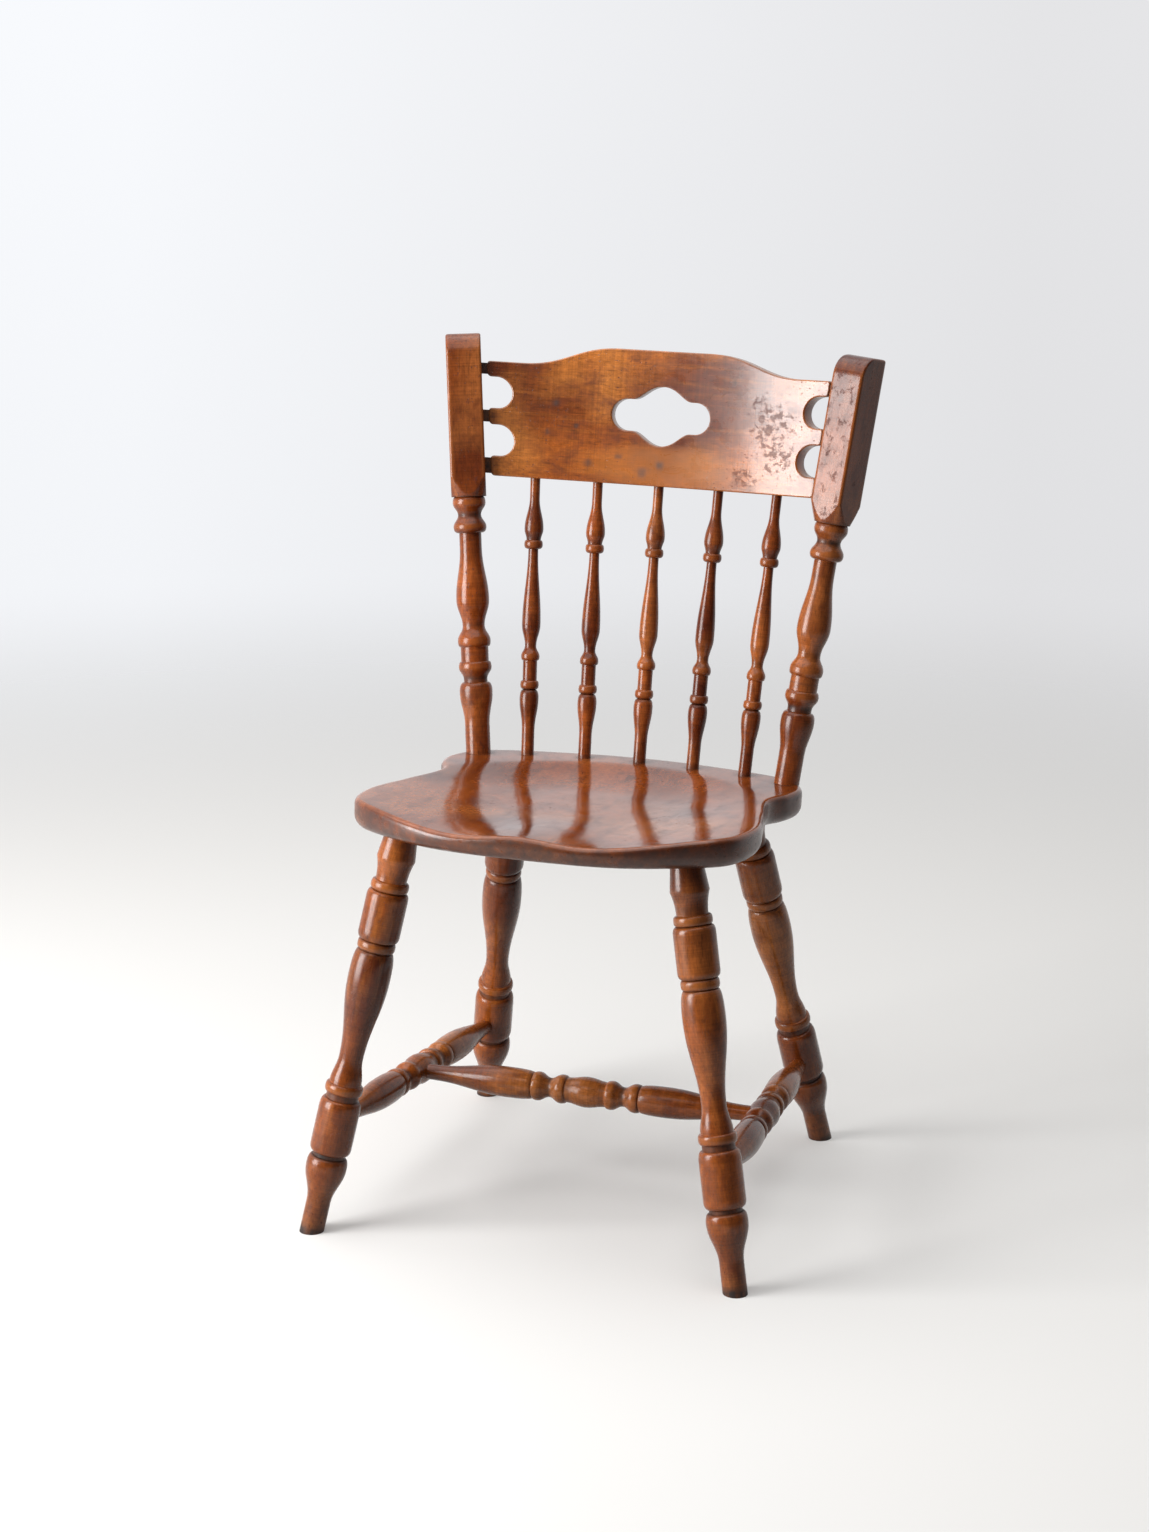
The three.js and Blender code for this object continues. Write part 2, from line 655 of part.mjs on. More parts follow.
function headGeometry() {
  const half = HEAD_DEPTH / 2;
  const roundY = -half + HEAD_FRONT_ROUND;
  const roundZ = HEAD_LENGTH - HEAD_FRONT_ROUND;
  const side = new THREE.Shape();
  side.moveTo(-half, 0);
  side.lineTo(half, 0);
  side.lineTo(half, HEAD_LENGTH);
  side.lineTo(roundY, HEAD_LENGTH);
  side.absarc(roundY, roundZ, HEAD_FRONT_ROUND, Math.PI / 2, Math.PI);
  const options = { depth: HEAD_WIDTH, bevelEnabled: false, curveSegments: 6 };
  const geometry = new THREE.ExtrudeGeometry(side, options);
  const acrossDepthAndUp = new THREE.Matrix4().makeBasis(
    new THREE.Vector3(0, 1, 0),
    new THREE.Vector3(0, 0, 1),
    new THREE.Vector3(1, 0, 0),
  );
  return geometry.translate(0, 0, -HEAD_WIDTH / 2).applyMatrix4(acrossDepthAndUp);
}

// The cone that the lathe leaves where the square head begins
function pommelEnvelope() {
  const corner = Math.hypot(HEAD_WIDTH, HEAD_DEPTH) / 2;
  const envelope = new Turning(HEAD_WIDTH);
  envelope.straight(HEAD_POMMEL_LENGTH, 2 * corner);
  envelope.straight(HEAD_LENGTH, 3 * corner);
  return turnedGeometry(envelope, 2 * POST_SIDES);
}

// Three tenons at each end of the rail, between its edges and notches: lower and upper height of each
function tenonSpans() {
  const edges = [0, ...NOTCH_HEIGHTS.flatMap((height) => [height - NOTCH_RADIUS, height + NOTCH_RADIUS])];
  edges.push(RAIL_END_HEIGHT);
  const spans = [];
  for (let i = 0; i < edges.length; i += 2) {
    spans.push([edges[i] + TENON_SET_BACK, edges[i + 1] - TENON_SET_BACK]);
  }
  return spans;
}

// The rail's ends slant with the posts, so what is drawn for a joint moves outwards with its height.
const END_SLANT = Math.tan(BACK_SPREAD) * Math.cos(HEAD_TURN_IN);

function slanted(geometry) {
  return geometry.applyMatrix4(new THREE.Matrix4().makeShear(0, 0, 0, 0, -END_SLANT, 0));
}

// A tenon, drawn from the head's inner face: its X runs into the rail, its Z up from the rail's lower edge.
function tenonGeometry([low, high], oversize) {
  const inHead = -TENON_DEPTH - oversize;
  const inRail = SHOULDER_GAP + RAIL_THICKNESS;
  const height = high - low + 2 * oversize;
  const geometry = new THREE.BoxGeometry(inRail - inHead, TENON_THICKNESS + 2 * oversize, height);
  return slanted(geometry.translate((inRail + inHead) / 2, 0, (low + high) / 2));
}

// Makes a post and returns the place of its joint with the rail: the origin on the head's inner face,
// level with the rail's lower edge, and X into the rail.
function makePost(side) {
  const turning = postTurning(TURNED_LENGTH);
  const post = piece(side < 0 ? 'post_left' : 'post_right', turnedGeometry(turning, POST_SIDES), 'back');
  post.position.x = side * POST_BASE_X;
  post.rotation.y = side * BACK_SPREAD;
  backFrame.add(post);
  seatCutters.push(socketCutter(post, turning, POST_SIDES));

  const headPlace = new THREE.Matrix4().makeRotationZ(-side * HEAD_TURN_IN);
  headPlace.setPosition(0, 0, TURNED_LENGTH).premultiply(post.matrixWorld);
  const head = placed(headGeometry(), headPlace);
  keepInside(head, placed(pommelEnvelope(), headPlace));
  const axisX = POST_BASE_X + RAIL_RISE * Math.tan(BACK_SPREAD);
  const jointPlace = new THREE.Matrix4().makeRotationZ((side > 0 ? Math.PI : 0) - side * HEAD_TURN_IN);
  jointPlace.setPosition(side * axisX, railArc(axisX), RAIL_RISE).premultiply(backFrame.matrixWorld);
  jointPlace.multiply(new THREE.Matrix4().makeTranslation(HEAD_WIDTH / 2, 0, 0));
  join(post, [head]);
  cut(post, tenonSpans().map((span) => placed(tenonGeometry(span, JOINT_CLEARANCE), jointPlace)));
  return jointPlace;
}

const railJoints = [-1, 1].map(makePost);

// Crest rail: a bent board with a swept top edge, a pierced middle and two notches in each end

function bentBoard() {
  const reach = Math.asin((RAIL_HALF_CHORD + HEAD_WIDTH) / RAIL_RADIUS);
  const band = new THREE.Shape();
  const along = (radius, angle) => [radius * Math.sin(angle), RAIL_CENTRE_Y + radius * Math.cos(angle)];
  const angles = Array.from({ length: RAIL_FACETS + 1 }, (_, i) => -reach + (2 * reach * i) / RAIL_FACETS);
  const inner = RAIL_RADIUS - RAIL_THICKNESS / 2;
  const outer = RAIL_RADIUS + RAIL_THICKNESS / 2;
  angles.forEach((angle, i) => {
    const [x, y] = along(inner, angle);
    if (i === 0) band.moveTo(x, y);
    else band.lineTo(x, y);
  });
  for (const angle of [...angles].reverse()) band.lineTo(...along(outer, angle));
  return new THREE.ExtrudeGeometry(band, { depth: RAIL_CROWN_HEIGHT, bevelEnabled: false });
}

// Turns an extruded drawing of the rail's face upright: drawn X and Y become X and Z.
function facing(shape, curveSegments) {
  const depth = 2 * (RAIL_SAG + RAIL_THICKNESS);
  const geometry = new THREE.ExtrudeGeometry(shape, { depth, bevelEnabled: false, curveSegments });
  return geometry.translate(0, 0, -depth / 2).rotateX(Math.PI / 2);
}

function railFace() {
  const reach = RAIL_HALF_CHORD + HEAD_WIDTH;
  const sweepEnd = RAIL_CROWN_HALF_WIDTH + RAIL_SWEEP_LENGTH;
  const bend = RAIL_SWEEP_LENGTH * 0.45;
  const face = new THREE.Shape();
  face.moveTo(-reach, 0);
  face.lineTo(reach, 0);
  face.lineTo(reach, RAIL_END_HEIGHT);
  face.lineTo(sweepEnd, RAIL_END_HEIGHT);
  face.bezierCurveTo(
    sweepEnd - bend, RAIL_END_HEIGHT,
    RAIL_CROWN_HALF_WIDTH + bend, RAIL_CROWN_HEIGHT,
    RAIL_CROWN_HALF_WIDTH, RAIL_CROWN_HEIGHT,
  );
  face.lineTo(-RAIL_CROWN_HALF_WIDTH, RAIL_CROWN_HEIGHT);
  face.bezierCurveTo(
    -RAIL_CROWN_HALF_WIDTH - bend, RAIL_CROWN_HEIGHT,
    -sweepEnd + bend, RAIL_END_HEIGHT,
    -sweepEnd, RAIL_END_HEIGHT,
  );
  face.lineTo(-reach, RAIL_END_HEIGHT);
  return facing(face, 8);
}

// A lobe at either end of a middle that swells above and below in S-curves
function piercing() {
  const lobeX = PIERCING_HALF_WIDTH - PIERCING_LOBE_RADIUS;
  const ledge = PIERCING_MIDDLE_HALF_WIDTH;
  const shape = new THREE.Shape();
  const swell = (side, up) => {
    const low = PIERCING_HEIGHT + up * PIERCING_LOBE_RADIUS;
    const high = PIERCING_HEIGHT + up * PIERCING_MIDDLE_RISE;
    shape.lineTo(side * ledge, low);
    shape.bezierCurveTo(side * ledge * 0.7, low, side * ledge * 0.5, high, 0, high);
    shape.bezierCurveTo(-side * ledge * 0.5, high, -side * ledge * 0.7, low, -side * ledge, low);
  };
  shape.moveTo(lobeX, PIERCING_HEIGHT - PIERCING_LOBE_RADIUS);
  shape.absarc(lobeX, PIERCING_HEIGHT, PIERCING_LOBE_RADIUS, -Math.PI / 2, Math.PI / 2);
  swell(1, 1);
  shape.absarc(-lobeX, PIERCING_HEIGHT, PIERCING_LOBE_RADIUS, Math.PI / 2, (3 * Math.PI) / 2);
  swell(-1, -1);
  return facing(shape, 5);
}

// The comb that shapes a rail end, drawn from the head's inner face: it leaves three rounded prongs.
function endComb() {
  const outside = -2 * HEAD_WIDTH;
  const below = -RAIL_THICKNESS;
  const above = RAIL_CROWN_HEIGHT;
  const end = SHOULDER_GAP;
  const inside = SHOULDER_GAP + PRONG_CORNER;
  const shape = new THREE.Shape();
  const roundLowerCorner = (height) => shape.quadraticCurveTo(end, height, end, height + PRONG_CORNER);
  const roundUpperCorner = (height) => {
    shape.lineTo(end, height - PRONG_CORNER);
    shape.quadraticCurveTo(end, height, inside, height);
  };
  shape.moveTo(outside, below);
  shape.lineTo(inside, below);
  shape.lineTo(inside, 0);
  roundLowerCorner(0);
  for (const height of NOTCH_HEIGHTS) {
    roundUpperCorner(height - NOTCH_RADIUS);
    shape.absarc(NOTCH_DEPTH - NOTCH_RADIUS, height, NOTCH_RADIUS, -Math.PI / 2, Math.PI / 2, false);
    shape.lineTo(inside, height + NOTCH_RADIUS);
    roundLowerCorner(height + NOTCH_RADIUS);
  }
  roundUpperCorner(RAIL_END_HEIGHT);
  shape.lineTo(inside, above);
  shape.lineTo(outside, above);
  return slanted(facing(shape, 3));
}

const rail = piece('crest_rail', bentBoard(), 'back');
rail.position.z = RAIL_RISE;
backFrame.add(rail);
rail.updateWorldMatrix(true, false);
keepInside(rail, placed(railFace(), rail.matrixWorld));
cut(rail, [placed(piercing(), rail.matrixWorld)]);
for (const jointPlace of railJoints) {
  cut(rail, [placed(endComb(), jointPlace)]);
  join(rail, tenonSpans().map((span) => placed(tenonGeometry(span, 0), jointPlace)));
}

// Spindles: from sockets in the seat to sockets in the rail's lower edge

const spindleEnds = Array.from({ length: SPINDLE_COUNT }, (_, i) => {
  const place = i - (SPINDLE_COUNT - 1) / 2;
  const baseX = place * SPINDLE_BASE_SPACING;
  const topX = place * SPINDLE_TOP_SPACING;
  const base = seatFrame.localToWorld(new THREE.Vector3(baseX, spindleArc(baseX), 0));
  const top = backFrame.localToWorld(new THREE.Vector3(topX, railArc(topX), RAIL_RISE));
  return { base, top, length: base.distanceTo(top) };
});
const shortestSpindle = Math.min(...spindleEnds.map(({ length }) => length));
const spindleWithoutSwell = spindleTurning(SPINDLE_LEAST_FOOT, 0).along - SPINDLE_TOP_TENON;
const railCutters = spindleEnds.map(({ base, top, length }, i) => {
  const footLength = SPINDLE_LEAST_FOOT + length - shortestSpindle;
  const turning = spindleTurning(footLength, shortestSpindle - spindleWithoutSwell);
  const spindle = piece(`spindle_${i + 1}`, turnedGeometry(turning, SPINDLE_SIDES), 'back');
  stand(spindle, base, top);
  chair.add(spindle);
  return socketCutter(spindle, turning, SPINDLE_SIDES);
});
cut(rail, railCutters);
cut(seat, [...seatCutters, ...railCutters]);

chair.traverse((object) => {
  if (object.isMesh) object.geometry = closedGeometry(object.geometry);
});

// The origin comes to the middle of the finished chair.
const extent = new THREE.Box3().setFromObject(chair, true);
chair.position.y = -(extent.min.y + extent.max.y) / 2;

export default chair;
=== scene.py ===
"""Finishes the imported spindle-back chair: smooth turnings, a scooped seat, a bent rail and worn varnish."""

import math

import bmesh
import bpy
from bpy.props import FloatProperty, FloatVectorProperty, PointerProperty
from mathutils import Matrix, Vector


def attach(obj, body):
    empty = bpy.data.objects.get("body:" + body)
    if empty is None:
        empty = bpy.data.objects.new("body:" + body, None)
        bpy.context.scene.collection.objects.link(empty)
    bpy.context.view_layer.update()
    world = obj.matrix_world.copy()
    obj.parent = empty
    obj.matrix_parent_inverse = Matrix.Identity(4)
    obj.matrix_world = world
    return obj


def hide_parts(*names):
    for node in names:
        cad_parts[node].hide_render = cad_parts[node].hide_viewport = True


bl_info = {
    "name": "Spindle-Back Chair",
    "version": (1, 0, 0),
    "blender": (4, 5, 0),
    "location": "3D View > Sidebar > Chair",
    "description": "Builds a varnished maple side chair around its packed solids",
    "category": "Add Mesh",
}

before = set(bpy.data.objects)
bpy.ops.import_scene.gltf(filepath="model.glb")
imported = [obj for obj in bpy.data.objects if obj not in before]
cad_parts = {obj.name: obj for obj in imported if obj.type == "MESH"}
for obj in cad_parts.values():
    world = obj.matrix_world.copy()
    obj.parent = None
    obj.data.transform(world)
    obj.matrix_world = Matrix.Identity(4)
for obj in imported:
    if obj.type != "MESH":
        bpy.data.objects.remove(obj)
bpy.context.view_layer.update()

MM = 0.001
CENTRED_BY = -0.404

# Seat plank, in millimetres from the line through the two posts
SEAT_HEIGHT = 440
SEAT_PITCH = math.radians(4)
SEAT_THICKNESS = 31.5
SEAT_HALF_WIDTH = 213.5
SEAT_WIDEST_AT = 240
SEAT_FRONT_AT = 367
SEAT_WAIST_HALF_WIDTH = 184.5
SEAT_WAIST_AT = 95
SEAT_TOP_ROUND = 6
SEAT_UNDER_ROUND = 14
SEAT_CORNER = ((118.5, 8), (53.5, 38), (10.5, 74))
EAR_CURVE = ((3.5, 60), (0, 25))
EAR_BEYOND_POST = 24
REAR_EDGE_BEHIND_SPINDLES = 28
REAR_EDGE_BEHIND_POSTS = 20
SCOOP_DEPTH = 13
SCOOP_BANK = 110
SCOOP_MARGIN = 17
SCOOP_MARGIN_AT_POSTS = 77
SCOOP_FLAT_SHARE = 0.3
SCOOP_FRONT_SHARE = 0.9
SCOOP_CREASE = 5
POMMEL_HEIGHT = 5.5
POMMEL_HALF_WIDTH = 42
POMMEL_LENGTH = 150

# Back
POST_LINE_Y = 124
POST_BASE_X = 177
SPINDLE_ARC_RISE = 32
SPINDLE_BASE_SPACING = 62.5
SPINDLE_TOP_SPACING = 69
BACK_LEAN = math.radians(9.5)
BACK_SPREAD = math.radians(6)

# Crest rail
RAIL_RISE = 306
RAIL_THICKNESS = 18
RAIL_SAG = 37
RAIL_END_HEIGHT = 125
RAIL_CROWN_HEIGHT = 147
RAIL_CROWN_HALF_WIDTH = 52
RAIL_SWEEP_LENGTH = 108
RAIL_EDGE = 1.5
PIERCING_HEIGHT = 76
PIERCING_HALF_WIDTH = 56.5
PIERCING_LOBE_RADIUS = 17.2
PIERCING_MIDDLE_RISE = 32.3
PIERCING_MIDDLE_HALF_WIDTH = 34
NOTCH_RADIUS = 17
NOTCH_DEPTH = 33
NOTCH_HEIGHTS = (39, 91)
PRONG_CORNER = 4
SHOULDER_GAP = 6
TENON_THICKNESS = 10
TENON_DEPTH = 13
TENON_SET_BACK = 2.5
# Spotted patches and single dings on the rail: along it from its middle, up from its lower edge, and radius
RAIL_SCARS = ((132, 72, 46), (142, 40, 34), (104, 14, 26), (118, 96, 20))
RAIL_DINGS = (
    (-80, 21, 7), (-18, 14, 8), (2, 23, 7), (-120, 84, 6), (-46, 30, 5), (-128, 52, 5), (84, 118, 5), (-96, 60, 4))
# Where the rail's front is rubbed lighter, below its piercing: how far along and how far up
RAIL_RUBBED = (110, 30)
RAIL_HALF_CHORD = POST_BASE_X + (RAIL_RISE + RAIL_END_HEIGHT / 2) * math.tan(BACK_SPREAD)
RAIL_RADIUS = (RAIL_HALF_CHORD**2 + RAIL_SAG**2) / (2 * RAIL_SAG)
RAIL_CENTRE_Y = RAIL_SAG - RAIL_RADIUS

# Square heads of the posts
HEAD_WIDTH = 38.5
HEAD_DEPTH = 41
HEAD_BELOW_RAIL = 25
HEAD_ABOVE_RAIL_END = 28
HEAD_TURN_IN = math.radians(20)
HEAD_FRONT_ROUND = 23
HEAD_POMMEL_LENGTH = 25
HEAD_EDGE = 2.6
# How spotted the fronts of the left and right heads are
HEAD_SPOTTING = {-1: 0.4, 1: 0.75}
TURNED_LENGTH = (RAIL_RISE - HEAD_BELOW_RAIL) / math.cos(BACK_SPREAD)
HEAD_LENGTH = (RAIL_RISE + RAIL_END_HEIGHT + HEAD_ABOVE_RAIL_END) / math.cos(BACK_SPREAD) - TURNED_LENGTH

# Legs and stretchers
FRONT_FOOT = (232, -225)
REAR_FOOT = (201, 223.5)
FRONT_SOCKET = (153, -286)
REAR_SOCKET = (134, -14)
LEG_TENON_DEPTH = 22
LEG_LEAST_NECK = 19.5
SIDE_STRETCHER_UP_FRONT_LEG = 122.5
SIDE_STRETCHER_UP_REAR_LEG = 105
SIDE_STRETCHER_STOP = 7
CROSS_STRETCHER_SHARE = 0.49
CROSS_STRETCHER_STOP = 6
POST_TENON_DEPTH = 20
SPINDLE_FOOT_TENON = 16
SPINDLE_TOP_TENON = 14
SPINDLE_LEAST_FOOT = 25
STRETCHER_TENON = 14
POST_CAP_LENGTH = 57

# Meshes, and their dirt and painted shade
LATHE_SIDES = 48
SHARP_FROM = math.radians(38)
RAIL_SLICE = 4
RAIL_SLICE_REACH = 228
FOOT_LEAST_RISE = 0.5
POST_RIM_RADIUS = 16.5
SPINDLE_RIM_RADIUS = 9

# Stage in metres, and the photograph's camera
FLOOR_RADIUS = 3.4
FLOOR_FADE = (1.25, 3.3)
WINDOW = ((-1.74, -1.42, 0.95), (0, 0.05, 0.6), 1.2, 1.5)
CEILING = ((-0.5, -0.2, 3.2), (0, 0.2, 0.3), 4.0, 4.0)
CAMERA_AZIMUTH = math.radians(18.79)
CAMERA_ELEVATION = math.radians(15.03)
CAMERA_ROLL = math.radians(0.63)
CAMERA_DISTANCE = 3.51705
CAMERA_AIM = (-10.04, -35.49 + CENTRED_BY, 480.28)
SENSOR_WIDTH = 36
FOCAL_PER_WIDTH = 3360.03 / 1532


class ChairFinish(bpy.types.PropertyGroup):
    """Colours of the stain and how worn the varnish is."""

    rail_tone: FloatVectorProperty(
        name="Rail", description="Stain of the crest rail", subtype="COLOR",
        default=(0.36, 0.09, 0.012), min=0, max=1)
    back_tone: FloatVectorProperty(
        name="Posts and spindles", description="Stain of the posts and spindles", subtype="COLOR",
        default=(0.28, 0.062, 0.010), min=0, max=1)
    seat_tone: FloatVectorProperty(
        name="Seat", description="Stain of the seat plank", subtype="COLOR",
        default=(0.29, 0.064, 0.011), min=0, max=1)
    leg_tone: FloatVectorProperty(
        name="Legs", description="Stain of the legs and stretchers", subtype="COLOR",
        default=(0.3, 0.072, 0.011), min=0, max=1)
    # Colour of dirt in dings and joints, and of painted shade under the seat's edge and in the rail's shoulder gaps;
    # narrow grooves, the legs' feet and the heads' feet darken towards it too
    dirt_and_shade_tone: FloatVectorProperty(
        name="Dirt", description="Old dirt in grooves and dings", subtype="COLOR",
        default=(0.022, 0.011, 0.008), min=0, max=1)
    spot_tone: FloatVectorProperty(
        name="Spots", description="Dark spots under the varnish", subtype="COLOR",
        default=(0.085, 0.026, 0.020), min=0, max=1)
    spots: FloatProperty(
        name="Spotting", description="How much of the varnish is spotted", subtype="FACTOR",
        default=0.5, min=0, max=1)
    # Scales all of that dirt and painted shade, not only that in the grooves
    dirt_and_shade: FloatProperty(
        name="Groove dirt", description="How dark the turned grooves are", subtype="FACTOR",
        default=0.8, min=0, max=1)


class ChairForm(bpy.types.PropertyGroup):
    """How finely the forms are made."""

    lathe_step: FloatProperty(
        name="Lathe step", description="Longest step along a turning", unit="LENGTH",
        default=0.003, min=0.001, max=0.02)
    edge_round: FloatProperty(
        name="Rail edge", description="Round on the edges of the crest rail", unit="LENGTH",
        default=RAIL_EDGE * MM, min=0.0002, max=0.004)


class ChairStage(bpy.types.PropertyGroup):
    """Floor, backdrop and lights."""

    floor_tone: FloatVectorProperty(
        name="Floor", description="Colour of the floor", subtype="COLOR",
        default=(0.645, 0.635, 0.62), min=0, max=1)
    floor_lift: FloatProperty(
        name="Floor lift", description="White that the floor shows of itself, which softens its shadows",
        subtype="FACTOR", default=0.22, min=0, max=1)
    floor_bounce: FloatProperty(
        name="Floor bounce", description="Share of the floor's colour in the light it throws back up",
        subtype="FACTOR", default=0.32, min=0, max=1)
    window_light: FloatProperty(
        name="Window", description="Strength of the large soft light on the left", unit="POWER",
        default=84, min=0)
    ceiling_light: FloatProperty(
        name="Ceiling", description="Strength of the wide soft light above", unit="POWER",
        default=100, min=0)
    room_light: FloatProperty(
        name="Room", description="Even light from all round", default=0.12, min=0)
    room_gloss: FloatProperty(
        name="Room gloss", description="How bright the room before the chair is in gloss", subtype="FACTOR",
        default=0.12, min=0, max=1)


# Curves

def smooth_step(value, low, high):
    share = min(max((value - low) / (high - low), 0), 1)
    return share * share * (3 - 2 * share)


def bezier(controls, steps):
    """Evenly timed points on a Bezier curve of any order, without its first."""
    points = []
    for step in range(1, steps + 1):
        share = step / steps
        row = list(controls)
        while len(row) > 1:
            row = [tuple(a + (b - a) * share for a, b in zip(*pair)) for pair in zip(row, row[1:])]
        points.append(row[0])
    return points


def arc(x, y, radius, start, stop, steps):
    points = []
    for step in range(steps + 1):
        angle = math.radians(start + (stop - start) * step / steps)
        points.append((x + radius * math.cos(angle), y + radius * math.sin(angle)))
    return points


class Turning:
    """A turned profile, cut along the axis one feature after another, in millimetres."""

    def __init__(self, diameter, start=0.0):
        self.points = [(diameter / 2, start)]

    @property
    def radius(self):
        return self.points[-1][0]

    @property
    def along(self):
        return self.points[-1][1]

    def follow(self, controls, length):
        """Follows a Bezier curve, in steps no longer than the lathe step."""
        longest = bpy.context.scene.chair_form.lathe_step / MM
        reach = sum(math.dist(a, b) for a, b in zip(controls, controls[1:]))
        self.points += bezier(controls, max(1, math.ceil(max(length, reach) / longest)))
        return self

    def straight(self, length, diameter=None):
        """A cylinder or a straight taper."""
        radius = self.radius if diameter is None else diameter / 2
        return self.follow([self.points[-1], (radius, self.along + length)], length)

    def sweep(self, length, diameter):
        """An S-shaped sweep that leaves and arrives along the axis."""
        reach = length * 0.4
        radius = diameter / 2
        end = self.along + length
        return self.follow(
            [self.points[-1], (self.radius, self.along + reach), (radius, end - reach), (radius, end)], length)

    def round_out(self, length, diameter):
        """A quarter round that leaves square to the axis and arrives along it."""
        radius = diameter / 2
        return self.follow([self.points[-1], (radius, self.along), (radius, self.along + length)], 3 * length)

    def round_in(self, length, diameter):
        """A quarter round that leaves along the axis and arrives square to it."""
        radius = diameter / 2
        end = self.along + length
        return self.follow([self.points[-1], (self.radius, end), (radius, end)], 3 * length)

    def flare(self, length, diameter):
        """A hollow flare that leaves along the axis and ends in a sharp arris."""
        middle = (self.radius, self.along + length / 2)
        return self.follow([self.points[-1], middle, (diameter / 2, self.along + length)], length)

    def ring(self, length, diameter, next_diameter=None):
        """A raised ring, up to its own diameter and down to the next."""
        after = self.radius * 2 if next_diameter is None else next_diameter
        self.round_out(length / 2, diameter)
        return self.round_in(length / 2, after)


def leg_turning(vase_rise, neck_length):
    """Foot, bulb, drum, vase, drum, collar, neck and tenon of a leg."""
    turning = Turning(25.5).straight(33).sweep(40, 43.2).round_in(11, 34).straight(4)
    turning.round_out(8, 43.8).straight(40).round_in(12, 34).straight(6)
    turning.ring(11, 40).sweep(28, 25.5).sweep(vase_rise, 44.2).round_in(29, 34)
    turning.ring(11, 40).round_out(8, 43.8).straight(38).round_in(8, 34)
    turning.ring(11, 40, 32.6).flare(24, 40.4)
    return turning.straight(neck_length, 33.4).straight(LEG_TENON_DEPTH, 27)


def stretcher_turning(half_length):
    """Middle swell, two pairs of beads and two vases, the same to either end."""
    half = Turning(33.4).sweep(23, 27)
    half.round_out(6, 31.6).sweep(13, 20.8).sweep(13, 31.6).round_in(6, 27).round_out(30, 33.4)
    half.sweep(half_length - half.along - STRETCHER_TENON, 17).straight(STRETCHER_TENON)
    half.points = [(r, -along) for r, along in reversed(half.points[1:])] + half.points
    return half


def post_turning():
    """Shank, knob, ringed drum, vase and cap of a post, up to its square head."""
    turning = Turning(27.4, -POST_TENON_DEPTH).straight(POST_TENON_DEPTH + 32)
    turning.sweep(35, 36.4).round_in(11, 26).straight(4).sweep(12, 36.4).round_in(7, 30.6)
    turning.straight(16).round_out(7, 36.4).sweep(16, 24.4).sweep(29, 36.4)
    turning.sweep(TURNED_LENGTH - turning.along - POST_CAP_LENGTH, 24.4)
    turning.straight(17).round_out(7, 36.4).sweep(13, 25.3).sweep(13, 36.4)
    return turning.round_in(7, 30.6).straight(6)


def spindle_turning(foot_length, swell_fall):
    """Foot, knob, ringed drum, swell, shank, ring and top knob of a spindle."""
    turning = Turning(14, -SPINDLE_FOOT_TENON).straight(SPINDLE_FOOT_TENON + foot_length)
    turning.sweep(35, 21).round_in(10, 12.4).ring(10, 20.5, 15.7).straight(22)
    turning.round_out(5, 20.5).sweep(11, 12.4).sweep(24, 20.5).sweep(swell_fall, 10.9)
    turning.ring(10, 20.5, 15.7).sweep(12, 21).sweep(34, 10.9)
    return turning.straight(22 + SPINDLE_TOP_TENON)


# Places

def tilted(angle):
    """A frame on the line through the posts, tipped about it."""
    origin = Matrix.Translation((0, POST_LINE_Y + CENTRED_BY, SEAT_HEIGHT))
    return origin @ Matrix.Rotation(-angle, 4, "X")


SEAT_FRAME = tilted(SEAT_PITCH)
BACK_FRAME = tilted(BACK_LEAN)


def stand(start, end):
    """The place of a turning whose axis runs from one point towards another."""
    turn = Vector((0, 0, 1)).rotation_difference(end - start)
    return Matrix.Translation(start) @ turn.to_matrix().to_4x4()


def spindle_arc(x):
    return SPINDLE_ARC_RISE * (1 - (x / POST_BASE_X) ** 2)


def rail_arc(x):
    return RAIL_CENTRE_Y + math.sqrt(RAIL_RADIUS**2 - x**2)


def leg_places():
    """Foot and socket point of each leg, by the name of its node."""
    places = {}
    for end, foot, socket in (("front", FRONT_FOOT, FRONT_SOCKET), ("back", REAR_FOOT, REAR_SOCKET)):
        for side_name, side in (("left", -1), ("right", 1)):
            start = Vector((side * foot[0], foot[1] + CENTRED_BY, 0))
            stop = SEAT_FRAME @ Vector((side * socket[0], socket[1], -SEAT_THICKNESS))
            places[f"leg_{end}_{side_name}"] = (start, stop)
    return places


# Meshes

def groove_and_crest(points):
    """How deep in a narrow groove, and how high on a narrow crest, each point of a profile lies: 0 to 1."""
    reach, full_depth, full_height = 9, 4, 5
    grooves, crests = [], []
    for radius, along in points:
        before = [r for r, a in points if along - reach <= a <= along]
        after = [r for r, a in points if along <= a <= along + reach]
        depth = min(max(before), max(after)) - radius
        height = radius - max(min(before), min(after))
        grooves.append(min(depth / full_depth, 1))
        crests.append(min(height / full_height, 1))
    return grooves, crests


